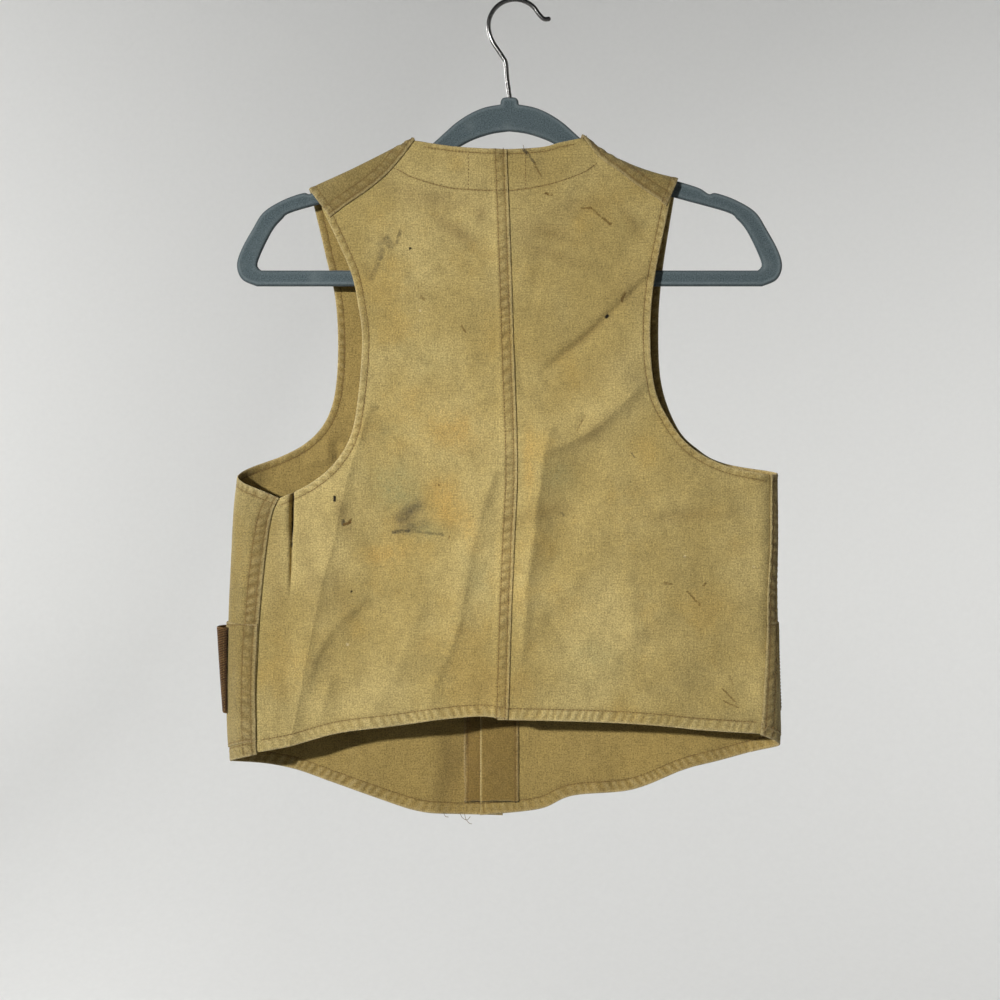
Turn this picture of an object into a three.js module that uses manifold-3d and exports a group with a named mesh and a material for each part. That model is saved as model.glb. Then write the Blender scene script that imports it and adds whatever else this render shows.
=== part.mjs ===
// Canvas hunting vest on a flat clothes hanger.
// Millimetres, +Z up. The back of the vest faces -Y and the wearer's right is +X.
// The origin is the inside top of the hook, where the hanger hangs.
import * as THREE from 'three';
import { mergeVertices } from 'three/addons/utils/BufferGeometryUtils.js';
import Module from 'manifold-3d';

const wasm = await Module();
wasm.setup();

// Cloth
const CLOTH = 1.2;
const GAP = 0.3;
const LAYER = CLOTH + GAP;
const LAP = 10;
const LAP_RAMP = 5;
const TUCK = LAP - 1;
const TUCK_GROWS_OVER = 60;
const SIDE_LAP = LAP + 4;
const SIDE_EASE = 0.45;
const SEAM_EASE = 0.15;
const OUTLINE_STEP = 17;
const DISH = 0.0002;
const CUTTER_DEPTH = 200;

// Shoulders and sides: how far the cloth takes to round over
const SHOULDER_ROUND = 9;
const SHOULDER_TUCK = 0.35;
const SHOULDER_LIFTS_OVER = 2.5;
const SIDE_ROUND = { left: 30, right: 20 };

// Fronts
const FRONT_EDGE = { left: -10, right: -29 };
const V_POINT_Z = -271;
const V_CURVE = 5;
const FACING_WIDTH = 31;
const FACING_SETBACK = 1.5;
const FACING_EASE = 0.9;
const FACING_FALL = 14;
const FACING_TOP = -140;
const OVERLAP_FROM = -52;
const OVERLAP_RAMP = 18;
const OVERLAP_EASE = 0.3;
const NECK_FACING_DEPTH = 30;

// Pockets and their loop bands
const POCKET_TOP = -508;
const POCKET_BOTTOM_UP = 16;
const POCKET_WIDTH = 175;
const POCKET_FROM_SEAM = 3;
const POCKET_GAP = 0.3;
const POCKET_SLACK = { left: 0.9, right: 3.2 };
const LOOP_COUNT = 5;
const LOOP_PITCH = 26;
const LOOP_TOP = -512;
const LOOP_HEIGHT = 70;
const LOOP_RISE = { top: 5.4, bottom: 1.6 };
const LOOP_FROM_SEAM = { left: 26, right: 30 };
const LOOP_GAP = 0.8;
const LOOP_COLUMNS = 6;

// Buttons
const BUTTON = { count: 5, radius: 8, thickness: 3, top: -292, pitch: 76, x: -19.5, gap: 0.7 };

// Hanger
const HANGER_X = -4.5;
const HANGER_THICKNESS = 5;
const HANGER_BEVEL = 1.2;
const WIRE_RADIUS = 1.85;
const HOOK_RADIUS = 21.75;
const HOOK_CENTRE_Z = -19.9;

// How far the cloth stands from the hanger's plane: at the side rounds, and the extra bow between them
const DEPTH = [
  { z: -105, back: 5.5, backBow: 0.5, front: 5.5, frontBow: 0.5 },
  { z: -160, back: 7.5, backBow: 2, front: 8, frontBow: 2 },
  { z: -236, back: 10, backBow: 4, front: 11, frontBow: 5 },
  { z: -330, back: 14, backBow: 6, front: 16, frontBow: 8 },
  { z: -400, back: 17, backBow: 7, front: 20, frontBow: 9 },
  { z: -500, back: 18, backBow: 5, front: 22, frontBow: 7 },
  { z: -600, back: 18, backBow: 3, front: 21, frontBow: 5 },
  { z: -680, back: 18, backBow: 3, front: 20, frontBow: 4 },
];

// Folds of the back: from the first point to the second, standing out by rise,
// fading over spreadLeft on one side of the line and spreadRight on the other
const FOLDS = [
  { x0: -174, z0: -398, x1: -181, z1: -560, rise: 5, spreadLeft: 8, spreadRight: 22 },
  { x0: -127, z0: -352, x1: -172, z1: -575, rise: 5, spreadLeft: 22, spreadRight: 14 },
  { x0: -100, z0: -380, x1: -140, z1: -575, rise: -3, spreadLeft: 16, spreadRight: 26 },
  { x0: 104, z0: -228, x1: 22, z1: -306, rise: -3, spreadLeft: 13, spreadRight: 18 },
  { x0: 86, z0: -322, x1: 24, z1: -368, rise: 3.5, spreadLeft: 20, spreadRight: 16 },
  { x0: 26, z0: -370, x1: 14, z1: -490, rise: 3, spreadLeft: 15, spreadRight: 15 },
  { x0: -18, z0: -388, x1: -72, z1: -530, rise: 2.5, spreadLeft: 24, spreadRight: 22 },
  { x0: 118, z0: -424, x1: 166, z1: -418, rise: 2, spreadLeft: 16, spreadRight: 16 },
];

// Outlines, each a row per point, seen square on: the outermost line of each side
const SIDE_LINE = {
  left: [
    { x: -225.5, z: -380 },
    { x: -229.6, z: -413 },
    { x: -232.3, z: -465 },
    { x: -234, z: -510 },
    { x: -234, z: -590 },
    { x: -231, z: -640 },
  ],
  right: [
    { x: 213.5, z: -380 },
    { x: 214, z: -444 },
    { x: 213.5, z: -487 },
    { x: 214.8, z: -525 },
    { x: 215.7, z: -573 },
    { x: 217.5, z: -640 },
  ],
};

// Felled seam down the middle of the back
const CENTRE_SEAM = [
  { x: -5.4, z: -585.7 },
  { x: -3, z: -508.7 },
  { x: -0.3, z: -443 },
  { x: 2, z: -377 },
  { x: -0.8, z: -291.5 },
  { x: -2.9, z: -221 },
  { x: -5.3, z: -158 },
  { x: -6.6, z: -123 },
];

// Back: hem from the side to the middle, side seam and armhole from the hem up,
// shoulder seam from the armhole to the neck, and neck edge from there to the middle
const BACK = {
  left: {
    hem: [
      { x: -207.6, z: -613.5 },
      { x: -180, z: -607 },
      { x: -142, z: -596.9 },
      { x: -97.7, z: -591 },
      { x: -56.6, z: -585.2 },
      { x: -26.8, z: -583 },
      { x: -5.4, z: -585.7 },
    ],
    side: [
      { x: -207.6, z: -613.5 },
      { x: -208.3, z: -558.7 },
      { x: -205.9, z: -509 },
      { x: -201.9, z: -462.6 },
      { x: -196, z: -422 },
      { x: -189.7, z: -407 },
    ],
    armhole: [
      { x: -189.7, z: -407 },
      { x: -165.4, z: -395.7 },
      { x: -145.2, z: -378.8 },
      { x: -132.4, z: -356.2 },
      { x: -126.9, z: -324.7 },
      { x: -123.9, z: -280 },
      { x: -127.4, z: -249.8 },
      { x: -134.9, z: -219.5 },
      { x: -151.4, z: -179.2 },
    ],
    shoulder: [
      { x: -151.4, z: -179.2 },
      { x: -133.6, z: -166.9 },
      { x: -115.7, z: -153.7 },
      { x: -100.3, z: -139.7 },
      { x: -81.4, z: -115.4 },
    ],
    neck: [
      { x: -81.4, z: -115.4 },
      { x: -63.7, z: -118.5 },
      { x: -42.5, z: -121 },
      { x: -6.6, z: -123 },
    ],
  },
  right: {
    hem: [
      { x: 197.5, z: -598 },
      { x: 152.6, z: -594.5 },
      { x: 119.8, z: -591.1 },
      { x: 86.8, z: -588.6 },
      { x: 37.6, z: -586.8 },
      { x: -5.4, z: -585.7 },
    ],
    side: [
      { x: 197.5, z: -598 },
      { x: 200.5, z: -550.2 },
      { x: 203, z: -486 },
      { x: 206, z: -420 },
      { x: 206.5, z: -388.4 },
    ],
    armhole: [
      { x: 206.5, z: -388.4 },
      { x: 169.3, z: -380.4 },
      { x: 141, z: -365 },
      { x: 123.3, z: -342.4 },
      { x: 112.5, z: -316.5 },
      { x: 109.4, z: -271.5 },
      { x: 113.9, z: -224.8 },
      { x: 123.6, z: -170.2 },
    ],
    shoulder: [
      { x: 123.6, z: -170.2 },
      { x: 109, z: -160.3 },
      { x: 94.4, z: -150.1 },
      { x: 77.8, z: -137.2 },
      { x: 55.5, z: -113.1 },
    ],
    neck: [
      { x: 55.5, z: -113.1 },
      { x: 36.7, z: -117 },
      { x: 20.3, z: -121 },
      { x: -6.6, z: -123 },
    ],
  },
};

// Top of each shoulder, where the front turns over to the back, from the armhole to the neck
const SHOULDER_TOP = {
  left: [
    { x: -168.9, z: -154.2 },
    { x: -158.3, z: -149.2 },
    { x: -132.8, z: -137.5 },
    { x: -107.7, z: -124.9 },
    { x: -82.8, z: -111.8 },
  ],
  right: [
    { x: 133.7, z: -145.4 },
    { x: 115.2, z: -140.9 },
    { x: 95.1, z: -133.9 },
    { x: 75, z: -124.1 },
    { x: 54.9, z: -108.9 },
  ],
};

// Fronts: the armhole from the side round up to the shoulder, and the hem from there to the front edge
const FRONT = {
  left: {
    armholeOnBack: [
      { x: -198.7, z: -403 },
      { x: -213, z: -397.5 },
    ],
    armhole: [
      { x: -203.4, z: -376.1 },
      { x: -171, z: -358.5 },
      { x: -153.7, z: -333.5 },
      { x: -147.4, z: -295 },
      { x: -148.5, z: -245.8 },
      { x: -157, z: -205 },
      { x: -168.9, z: -154.2 },
    ],
    hem: [
      { x: -189.5, z: -631.7 },
      { x: -153.6, z: -644.1 },
      { x: -115, z: -658 },
      { x: -84.3, z: -668 },
      { x: -58.3, z: -671.4 },
      { x: -10, z: -673 },
    ],
  },
  right: {
    armholeOnBack: [],
    armhole: [
      { x: 177.2, z: -378.6 },
      { x: 150.6, z: -364.3 },
      { x: 134.7, z: -346 },
      { x: 122.4, z: -312 },
      { x: 119.4, z: -268 },
      { x: 122.5, z: -219 },
      { x: 133.7, z: -145.4 },
    ],
    hem: [
      { x: 175.7, z: -625 },
      { x: 141.6, z: -633.9 },
      { x: 97.3, z: -651.3 },
      { x: 48, z: -656.4 },
      { x: 20.3, z: -667.3 },
      { x: -29, z: -672.5 },
    ],
  },
};

// Half of the hanger's outline, out from its middle
const HANGER_TOP = [
  { out: 29.5, z: -88 },
  { out: 43, z: -97 },
  { out: 52, z: -108.5 },
  { out: 79.5, z: -126.1 },
  { out: 99.5, z: -135.9 },
  { out: 119.7, z: -142.9 },
  { out: 138.2, z: -147.4 },
  { out: 155.4, z: -152.8 },
  { out: 163.5, z: -157.7 },
  { out: 169.3, z: -156.9 },
  { out: 185.5, z: -162.6 },
  { out: 201.5, z: -172.5 },
  { out: 211, z: -187 },
  { out: 220.2, z: -204 },
  { out: 223.5, z: -217 },
  { out: 219, z: -228 },
];
const HANGER_COLLAR = { out: 7, topZ: -78.5, footZ: -84.2 };
const HANGER_BASE = { out: 207, z: -233.5 };
const HANGER_INSIDE = [
  { out: 17.6, z: -107.7 },
  { out: 35.7, z: -115.9 },
  { out: 60, z: -131 },
  { out: 100, z: -150 },
  { out: 136.5, z: -161 },
  { out: 177.5, z: -172.4 },
  { out: 186.5, z: -178.5 },
  { out: 195.6, z: -190 },
  { out: 206.5, z: -214 },
  { out: 203.5, z: -220.4 },
];
const HANGER_INSIDE_TOP_Z = -106.5;

// The hook's wire below its round and past it
const HOOK_STEM = [
  { x: -4.5, z: -78.2 },
  { x: -6.3, z: -64.8 },
  { x: -7.5, z: -51 },
  { x: -9.8, z: -45.8 },
  { x: -18.2, z: -33 },
];
const HOOK_TIP = [
  { x: 21.2, z: -12 },
  { x: 24.2, z: -14.3 },
  { x: 29.3, z: -13.9 },
];

const clamp = THREE.MathUtils.clamp;
const ease = THREE.MathUtils.smoothstep;
const toward = THREE.MathUtils.lerp;

// Value of a column at a height, read smoothly between the rows of a table
function readTable(rows, column, from, at) {
  const ordered = [...rows].sort((a, b) => a[from] - b[from]);
  const last = ordered.length - 1;
  const slope = (i) => {
    const a = ordered[Math.max(i - 1, 0)];
    const b = ordered[Math.min(i + 1, last)];
    return (b[column] - a[column]) / (b[from] - a[from]);
  };
  if (at <= ordered[0][from]) {
    return ordered[0][column] + slope(0) * (at - ordered[0][from]);
  }
  if (at >= ordered[last][from]) {
    return ordered[last][column] + slope(last) * (at - ordered[last][from]);
  }
  let i = 0;
  while (ordered[i + 1][from] < at) {
    i += 1;
  }
  const span = ordered[i + 1][from] - ordered[i][from];
  const t = (at - ordered[i][from]) / span;
  const bend0 = (1 + 2 * t) * (1 - t) ** 2;
  const bend1 = t * (1 - t) ** 2;
  const rise = bend0 * ordered[i][column] + (1 - bend0) * ordered[i + 1][column];
  return rise + span * (bend1 * slope(i) - t * t * (1 - t) * slope(i + 1));
}

const depthAt = (z, column) => readTable(DEPTH, column, 'z', clamp(z, -680, -105));

const SIGN = { left: -1, right: 1 };

// The outermost line of a side, continued straight up past the armhole
const sideLineX = (side, z) => readTable(SIDE_LINE[side], 'x', 'z', clamp(z, -640, -380));

// Share of the full depth near a shoulder: none on its top line, all of it a little way below
function shoulderShare(side, x, z) {
  const top = readTable(SHOULDER_TOP[side], 'z', 'x', x);
  const below = clamp((top - z) / SHOULDER_ROUND, 0, 1);
  return Math.sqrt(1 - (1 - below) ** 2);
}

// How far all the folds together lift the back at a point
function foldRise(x, z) {
  let rise = 0;
  for (const fold of FOLDS) {
    const dx = fold.x1 - fold.x0;
    const dz = fold.z1 - fold.z0;
    const length = Math.hypot(dx, dz);
    const along = ((x - fold.x0) * dx + (z - fold.z0) * dz) / length ** 2;
    const across = ((x - fold.x0) * dz - (z - fold.z0) * dx) / length;
    const spread = across * Math.sign(dz || 1) < 0 ? fold.spreadLeft : fold.spreadRight;
    const ends = ease(along, -0.18, 0.12) * (1 - ease(along, 0.75, 1.15));
    rise += fold.rise * ends * Math.exp(-((across / spread) ** 2));
  }
  return rise;
}

// Bow between the side rounds: full in the middle and none where the rounds begin
function bowShare(x, z) {
  const left = sideLineX('left', z) + SIDE_ROUND.left;
  const right = sideLineX('right', z) - SIDE_ROUND.right;
  const across = (2 * x - left - right) / (right - left);
  return 1 - clamp(across, -1, 1) ** 2;
}

const sideOf = (x) => (x < HANGER_X ? 'left' : 'right');

// The back's distance from the hanger's plane, seen square on
function backY(x, z) {
  const side = sideOf(x);
  const round = SIDE_ROUND[side];
  const inward = (sideLineX(side, z) - x) * SIGN[side];
  const turn = clamp(1 - inward / round, 0, 1);
  const atSide = depthAt(z, 'back') * Math.sqrt(1 - turn ** 2);
  const share = shoulderShare(side, x, z);
  return -(atSide + depthAt(z, 'backBow') * bowShare(x, z) + foldRise(x, z)) * share;
}

const backPlace = (x, z) => new THREE.Vector3(x, backY(x, z), z);

function frontY(side, x, z) {
  return (depthAt(z, 'front') + depthAt(z, 'frontBow') * bowShare(x, z)) * shoulderShare(side, x, z);
}

// Lengths of cloth that the side round takes up, in front of the outermost line and behind it
function roundLengths(side, z) {
  const round = SIDE_ROUND[side];
  const quarter = (depth) => (Math.PI / 2) * Math.sqrt((round ** 2 + depth ** 2) / 2);
  return { front: quarter(depthAt(z, 'front')), back: quarter(depthAt(z, 'back')) };
}

// A front laid flat: x runs on past the side round, so a place on the back has a flat x of its own
function flatX(side, x, z) {
  const round = SIDE_ROUND[side];
  const inward = (sideLineX(side, z) - x) * SIGN[side];
  const lengths = roundLengths(side, z);
  const start = sideLineX(side, z) - SIGN[side] * round;
  const turn = Math.acos(clamp(1 - inward / round, 0, 1)) / (Math.PI / 2);
  const beyond = Math.max(inward - round, 0);
  return start + SIGN[side] * (lengths.front + lengths.back * turn + beyond);
}

// The top of a shoulder, level past its ends
const CREST_X = { left: [-178, -70], right: [44, 142] };
const crestZ = (side, x) => readTable(SHOULDER_TOP[side], 'z', 'x', clamp(x, ...CREST_X[side]));

// Mirror image of a point across the top of its shoulder: where the back's cloth lies in the flat front
function overShoulder(side, x, z) {
  const slope = (crestZ(side, x + 1) - crestZ(side, x - 1)) / 2;
  const twice = (2 * (z - crestZ(side, x))) / (1 + slope ** 2);
  return { x: x + slope * twice, z: z - twice };
}

// The place in space of a point of a front laid flat
function frontPlace(side, flat, z) {
  const sign = SIGN[side];
  const round = SIDE_ROUND[side];
  const line = sideLineX(side, z);
  const lengths = roundLengths(side, z);
  const past = (flat - (line - sign * round)) * sign;
  if (past <= 0 && z > crestZ(side, flat)) {
    const turned = overShoulder(side, flat, z);
    return backPlace(turned.x, turned.z);
  }
  if (past <= 0) {
    return new THREE.Vector3(flat, frontY(side, flat, z), z);
  }
  if (past < lengths.front) {
    const angle = (1 - past / lengths.front) * (Math.PI / 2);
    const x = line - sign * round * (1 - Math.cos(angle));
    return new THREE.Vector3(x, depthAt(z, 'front') * Math.sin(angle), z);
  }
  if (past < lengths.front + lengths.back) {
    const angle = ((past - lengths.front) / lengths.back) * (Math.PI / 2);
    return backPlace(line - sign * round * (1 - Math.cos(angle)), z);
  }
  return backPlace(line - sign * (round + past - lengths.front - lengths.back), z);
}

const steps = (from, to, count) =>
  Array.from({ length: count + 1 }, (_, i) => toward(from, to, i / count));

// Cloth to be cut lies in a very shallow dish, so that each of its faces stays a face of its own
const dish = (x, z) => DISH * (x ** 2 + (z + 400) ** 2);

// A sheet of flat cloth, its corners set out by columns and rows
function layOut(columns, rows, spot) {
  const across = columns.length - 1;
  const up = rows.length - 1;
  const sheet = new THREE.BoxGeometry(across, up, CLOTH, across, up, 1);
  const at = sheet.attributes.position;
  for (let k = 0; k < at.count; k += 1) {
    const column = columns[Math.round(at.getX(k) + across / 2)];
    const row = rows[Math.round(at.getY(k) + up / 2)];
    const [x, z] = spot(column, row);
    at.setXYZ(k, x, z, at.getZ(k) + dish(x, z));
  }
  return sheet;
}

// A closed geometry as a solid to cut, and back
function toSolid(geometry) {
  const bare = new THREE.BufferGeometry().setAttribute('position', geometry.attributes.position);
  bare.setIndex(geometry.index);
  const merged = mergeVertices(bare, 1e-4);
  return new wasm.Manifold(new wasm.Mesh({
    numProp: 3,
    vertProperties: merged.attributes.position.array,
    triVerts: new Uint32Array(merged.index.array),
  }));
}

function toGeometry(solid) {
  const mesh = solid.getMesh();
  const geometry = new THREE.BufferGeometry();
  geometry.setAttribute('position', new THREE.Float32BufferAttribute(mesh.vertProperties, 3));
  return geometry.setIndex([...mesh.triVerts]);
}

// A flat sheet trimmed to a pattern's outline, given as runs of points end to end
function cutOut(sheet, ...runs) {
  const corners = runs.flatMap((run) => {
    const curve = new THREE.SplineCurve(run.map((row) => new THREE.Vector2(row.x, row.z)));
    return curve.getSpacedPoints(Math.ceil(curve.getLength() / OUTLINE_STEP)).slice(1);
  });
  const outline = new THREE.Shape(corners);
  const cutter = new THREE.ExtrudeGeometry(outline, { depth: CUTTER_DEPTH, bevelEnabled: false });
  cutter.translate(0, 0, -CUTTER_DEPTH / 2);
  return toGeometry(toSolid(sheet).intersect(toSolid(cutter)));
}

// Flat cloth brought to its place, moved out of the vest by its lift.
// A back's flat face looks out of the vest and a front's looks in.
function bend(flat, place, facing, lift = () => 0) {
  const at = flat.attributes.position;
  const probe = 0.4;
  for (let k = 0; k < at.count; k += 1) {
    const [x, z] = [at.getX(k), at.getY(k)];
    const through = at.getZ(k) - dish(x, z);
    const across = place(x + probe, z).sub(place(x - probe, z));
    const up = place(x, z + probe).sub(place(x, z - probe));
    const normal = across.cross(up).normalize();
    const point = place(x, z).addScaledVector(normal, through + facing * lift(x, z));
    at.setXYZ(k, ...point.toArray());
  }
  flat.computeVertexNormals();
  return flat;
}

const shifted = (rows, dx) => rows.map((row) => ({ x: row.x + dx, z: row.z }));
const between = (a, b, share) => ({ x: toward(a.x, b.x, share), z: toward(a.z, b.z, share) });
const reversed = (rows) => [...rows].reverse();

const CANVAS = new THREE.MeshStandardMaterial({ color: 0xaa925c, roughness: 0.95, metalness: 0 });
const FACING_CANVAS = new THREE.MeshStandardMaterial({ color: 0xa08650, roughness: 0.95, metalness: 0 });
const LOOP_CLOTH = new THREE.MeshStandardMaterial({ color: 0x5a3a22, roughness: 0.9, metalness: 0 });
const FLOCK = new THREE.MeshStandardMaterial({ color: 0x46555c, roughness: 0.9, metalness: 0 });
const STEEL = new THREE.MeshStandardMaterial({ color: 0xb8b8b4, roughness: 0.25, metalness: 1 });
const HORN = new THREE.MeshStandardMaterial({ color: 0x3a2a1c, roughness: 0.4, metalness: 0 });

const vest = new THREE.Group();

function addPiece(name, geometry, material) {
  const mesh = new THREE.Mesh(geometry, material);
  mesh.name = name;
  vest.add(mesh);
  return mesh;
}

// Back panels. The left one laps over the right down the middle, and both run under the fronts'
// laps at the sides and the shoulders.
const seamX = (z) => readTable(CENTRE_SEAM, 'x', 'z', clamp(z, -620, -105));
const BACK_ROWS = steps(-622, -104, 18);
const LEFT_COLUMNS = [-3, 5, LAP, LAP + LAP_RAMP, ...steps(28, 156, 8), 170, 182, 194, 204, 214, 226];
const RIGHT_COLUMNS = [-TUCK - 3, -4, 4, 14, 24, ...steps(36, 180, 9), 190, 200, 208, 216, 226];

function backRuns(side) {
  const rows = BACK[side];
  const under = rows.side.map((row) => {
    const tuck = TUCK * ease(rows.side.at(-1).z - row.z, -5, TUCK_GROWS_OVER);
    const flat = flatX(side, row.x, row.z) - SIGN[side] * tuck;
    return { x: frontPlace(side, flat, row.z).x, z: row.z };
  });
  const shoulder = rows.shoulder.map((row, i) =>
    between(row, SHOULDER_TOP[side][i], i < rows.shoulder.length - 1 ? SHOULDER_TUCK : 0));
  const underarm = [under.at(-1), ...rows.armhole.slice(1, -1), shoulder[0]];
  return {
    hem: [under[0], ...rows.hem.slice(1)],
    middle: CENTRE_SEAM,
    neck: reversed(rows.neck),
    shoulder: reversed(shoulder),
    underarm: reversed(underarm),
    under: reversed(under),
  };
}

const leftBack = backRuns('left');
const leftSheet = layOut(reversed(LEFT_COLUMNS), BACK_ROWS, (column, z) => [seamX(z) - column, z]);
const leftCut = cutOut(leftSheet, ...Object.values(leftBack));
const middleLap = (x, z) => (LAYER + SEAM_EASE) * (1 - ease(seamX(z) - x, LAP, LAP + LAP_RAMP));
addPiece('back_left', bend(leftCut, backPlace, 1, middleLap), CANVAS);

const rightBack = backRuns('right');
rightBack.middle = shifted(CENTRE_SEAM, -TUCK);
rightBack.hem.splice(-1, 1, rightBack.middle[0]);
rightBack.neck.splice(0, 1, rightBack.middle.at(-1));
const rightSheet = layOut(RIGHT_COLUMNS, BACK_ROWS, (column, z) => [seamX(z) + column, z]);
const rightCut = cutOut(rightSheet, ...Object.values(rightBack));
addPiece('back_right', bend(rightCut, backPlace, 1), CANVAS);

// Neck facing, inside the back along the neck edge
const NECK_FACING_X = [-68, 42];
const neckEdge = [...BACK.left.neck, ...reversed(BACK.right.neck).slice(1)];
const neckSheet = layOut(steps(...NECK_FACING_X, 14), steps(1, 0, 2), (x, down) => {
  const along = (x - NECK_FACING_X[0]) / (NECK_FACING_X[1] - NECK_FACING_X[0]);
  const sag = 0.55 + 0.45 * Math.sin(Math.PI * along);
  return [x, readTable(neckEdge, 'z', 'x', x) - FACING_SETBACK - down * NECK_FACING_DEPTH * sag];
});
addPiece('neck_facing', bend(neckSheet, backPlace, 1, () => -LAYER), FACING_CANVAS);

// Fronts. Each is cut flat from its side seam to its front edge and from its hem to its shoulder seam,
// then bent round the side and over the shoulder.
const SIDE_COLUMNS = [-3, 5, 10, SIDE_LAP, SIDE_LAP + LAP_RAMP, 26, 32, 38, 44, 50, 56, 63, 71, 80, 94];
const FRONT_COLUMNS = [...SIDE_COLUMNS, ...steps(110, 302, 11)];
const LOW_ROWS = steps(-690, -240, 14);
const CREST_ROWS = [-45, -20, -10, -5, -2, -0.4, 0, 0.4, 2, 5, 10, 20, 34];

const seamFlatX = (side, z) => {
  const held = clamp(z, -613, BACK[side].side.at(-1).z);
  return flatX(side, readTable(BACK[side].side, 'x', 'z', held), held);
};

// How far the left front stands off the right one where they overlap, with its facing between them
const OVERLAP_LIFT = 2 * (LAYER + OVERLAP_EASE);
const overlapLift = (x) => OVERLAP_LIFT * ease(x, OVERLAP_FROM - OVERLAP_RAMP, OVERLAP_FROM);
const ownLift = { left: overlapLift, right: () => 0 };

function frontRuns(side) {
  const rows = FRONT[side];
  const seam = BACK[side].side.map((row) => ({ x: flatX(side, row.x, row.z), z: row.z }));
  const wrapped = rows.armholeOnBack.map((row) => ({ x: flatX(side, row.x, row.z), z: row.z }));
  const shoulder = BACK[side].shoulder.map((row) => overShoulder(side, row.x, row.z));
  const crest = SHOULDER_TOP[side];
  const edgeX = FRONT_EDGE[side];
  const opening = [{ x: edgeX, z: V_POINT_Z }, { x: edgeX, z: rows.hem.at(-1).z }];
  const middle = between(opening[0], crest.at(-1), 0.5);
  return {
    seam,
    underarm: [seam.at(-1), ...wrapped, ...rows.armhole],
    shoulderEnd: [crest[0], shoulder[0]],
    shoulder,
    neckEnd: [shoulder.at(-1), crest.at(-1)],
    vEdge: [crest.at(-1), { x: middle.x - SIGN[side] * V_CURVE, z: middle.z }, opening[0]],
    opening,
    hem: reversed([seam[0], ...rows.hem]),
  };
}

for (const side of ['left', 'right']) {
  const sign = SIGN[side];
  const place = (x, z) => frontPlace(side, x, z);
  const rows = [...LOW_ROWS, ...CREST_ROWS.map((above) => ({ above }))];
  const turned = side === 'left' ? (list) => list : reversed;
  const sheet = layOut(turned(FRONT_COLUMNS), rows, (column, row) => {
    const z = row.above === undefined ? row : 0;
    const x = seamFlatX(side, row.above === undefined ? z : -240) - sign * column;
    return [x, row.above === undefined ? z : crestZ(side, x) + row.above];
  });
  const runs = frontRuns(side);
  const cut = cutOut(sheet, ...Object.values(runs));
  const lift = (x, z) => {
    const fromSeam = (seamFlatX(side, z) - x) * sign;
    const atSide = (LAYER + SIDE_EASE) * (1 - ease(fromSeam, SIDE_LAP, SIDE_LAP + LAP_RAMP));
    const overTop = LAYER * ease(z - crestZ(side, x), 0, SHOULDER_LIFTS_OVER);
    const held = z < crestZ(side, x) ? ownLift[side](x) : 0;
    return Math.max(atSide, overTop) + held;
  };
  addPiece(`front_${side}`, bend(cut, place, -1, lift), CANVAS);

  // Its facing, inside the front edge from the hem up towards the shoulder
  const edgeX = (z) => (z < V_POINT_Z ? FRONT_EDGE[side] : readTable(runs.vEdge, 'x', 'z', z));
  const facingRows = steps(runs.opening.at(-1).z + 2 * FACING_SETBACK, FACING_TOP, 20);
  const facingSheet = layOut(turned(steps(1, 0, 3)), facingRows, (inward, z) => {
    const fall = FACING_FALL * inward * ease(z, V_POINT_Z - 30, V_POINT_Z + 60);
    return [edgeX(z) + sign * (FACING_SETBACK + inward * FACING_WIDTH), z - fall];
  });
  const facingLift = (x, z) => {
    const eased = OVERLAP_EASE + FACING_EASE * ease(z, V_POINT_Z, V_POINT_Z + 50);
    return ownLift[side](x) - LAYER - eased;
  };
  addPiece(`front_facing_${side}`, bend(facingSheet, place, -1, facingLift), FACING_CANVAS);

  // Its pocket, flat where it is sewn and slack between
  const bottomZ = (x) => readTable(FRONT[side].hem, 'z', 'x', clamp(x, -189, 175)) + POCKET_BOTTOM_UP;
  const pocketLift = (x, z) => {
    const along = clamp(((seamFlatX(side, z) - x) * sign - POCKET_FROM_SEAM) / POCKET_WIDTH, 0, 1);
    const up = clamp((z - bottomZ(x)) / (POCKET_TOP - bottomZ(x)), 0, 1);
    const slack = POCKET_SLACK[side] * Math.sin(Math.PI * along) ** 0.5 * (0.4 + 0.6 * up);
    const overLap = (LAYER + SIDE_EASE) * (1 - ease(along, 0.08, 0.14));
    return LAYER + POCKET_GAP + slack + overLap;
  };
  const pocketColumns = [...steps(0, 91, 14), ...steps(91, POCKET_WIDTH, 6).slice(1)];
  const pocketSheet = layOut(turned(pocketColumns), steps(0, 1, 4), (column, up) => {
    const inward = -sign * (POCKET_FROM_SEAM + column);
    const z = toward(bottomZ(seamFlatX(side, POCKET_TOP) + inward), POCKET_TOP, up);
    return [seamFlatX(side, z) + inward, z];
  });
  addPiece(`pocket_${side}`, bend(pocketSheet, place, -1, pocketLift), CANVAS);

  // The band of loops on it, arched between its rows of stitching
  const loopColumns = steps(0, LOOP_COUNT, LOOP_COUNT * LOOP_COLUMNS);
  const loopRows = steps(LOOP_TOP - LOOP_HEIGHT, LOOP_TOP, 2);
  const loopSheet = layOut(turned(loopColumns), loopRows, (k, z) =>
    [seamFlatX(side, z) - sign * (LOOP_FROM_SEAM[side] + k * LOOP_PITCH), z]);
  const loopLift = (x, z) => {
    const k = ((seamFlatX(side, z) - x) * sign - LOOP_FROM_SEAM[side]) / LOOP_PITCH;
    const rise = toward(LOOP_RISE.top, LOOP_RISE.bottom, clamp((LOOP_TOP - z) / LOOP_HEIGHT, 0, 1));
    return pocketLift(x, z) + CLOTH + LOOP_GAP + rise * Math.abs(Math.sin(Math.PI * k)) ** 0.8;
  };
  addPiece(`shell_loops_${side}`, bend(loopSheet, place, -1, loopLift), LOOP_CLOTH);
}

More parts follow.
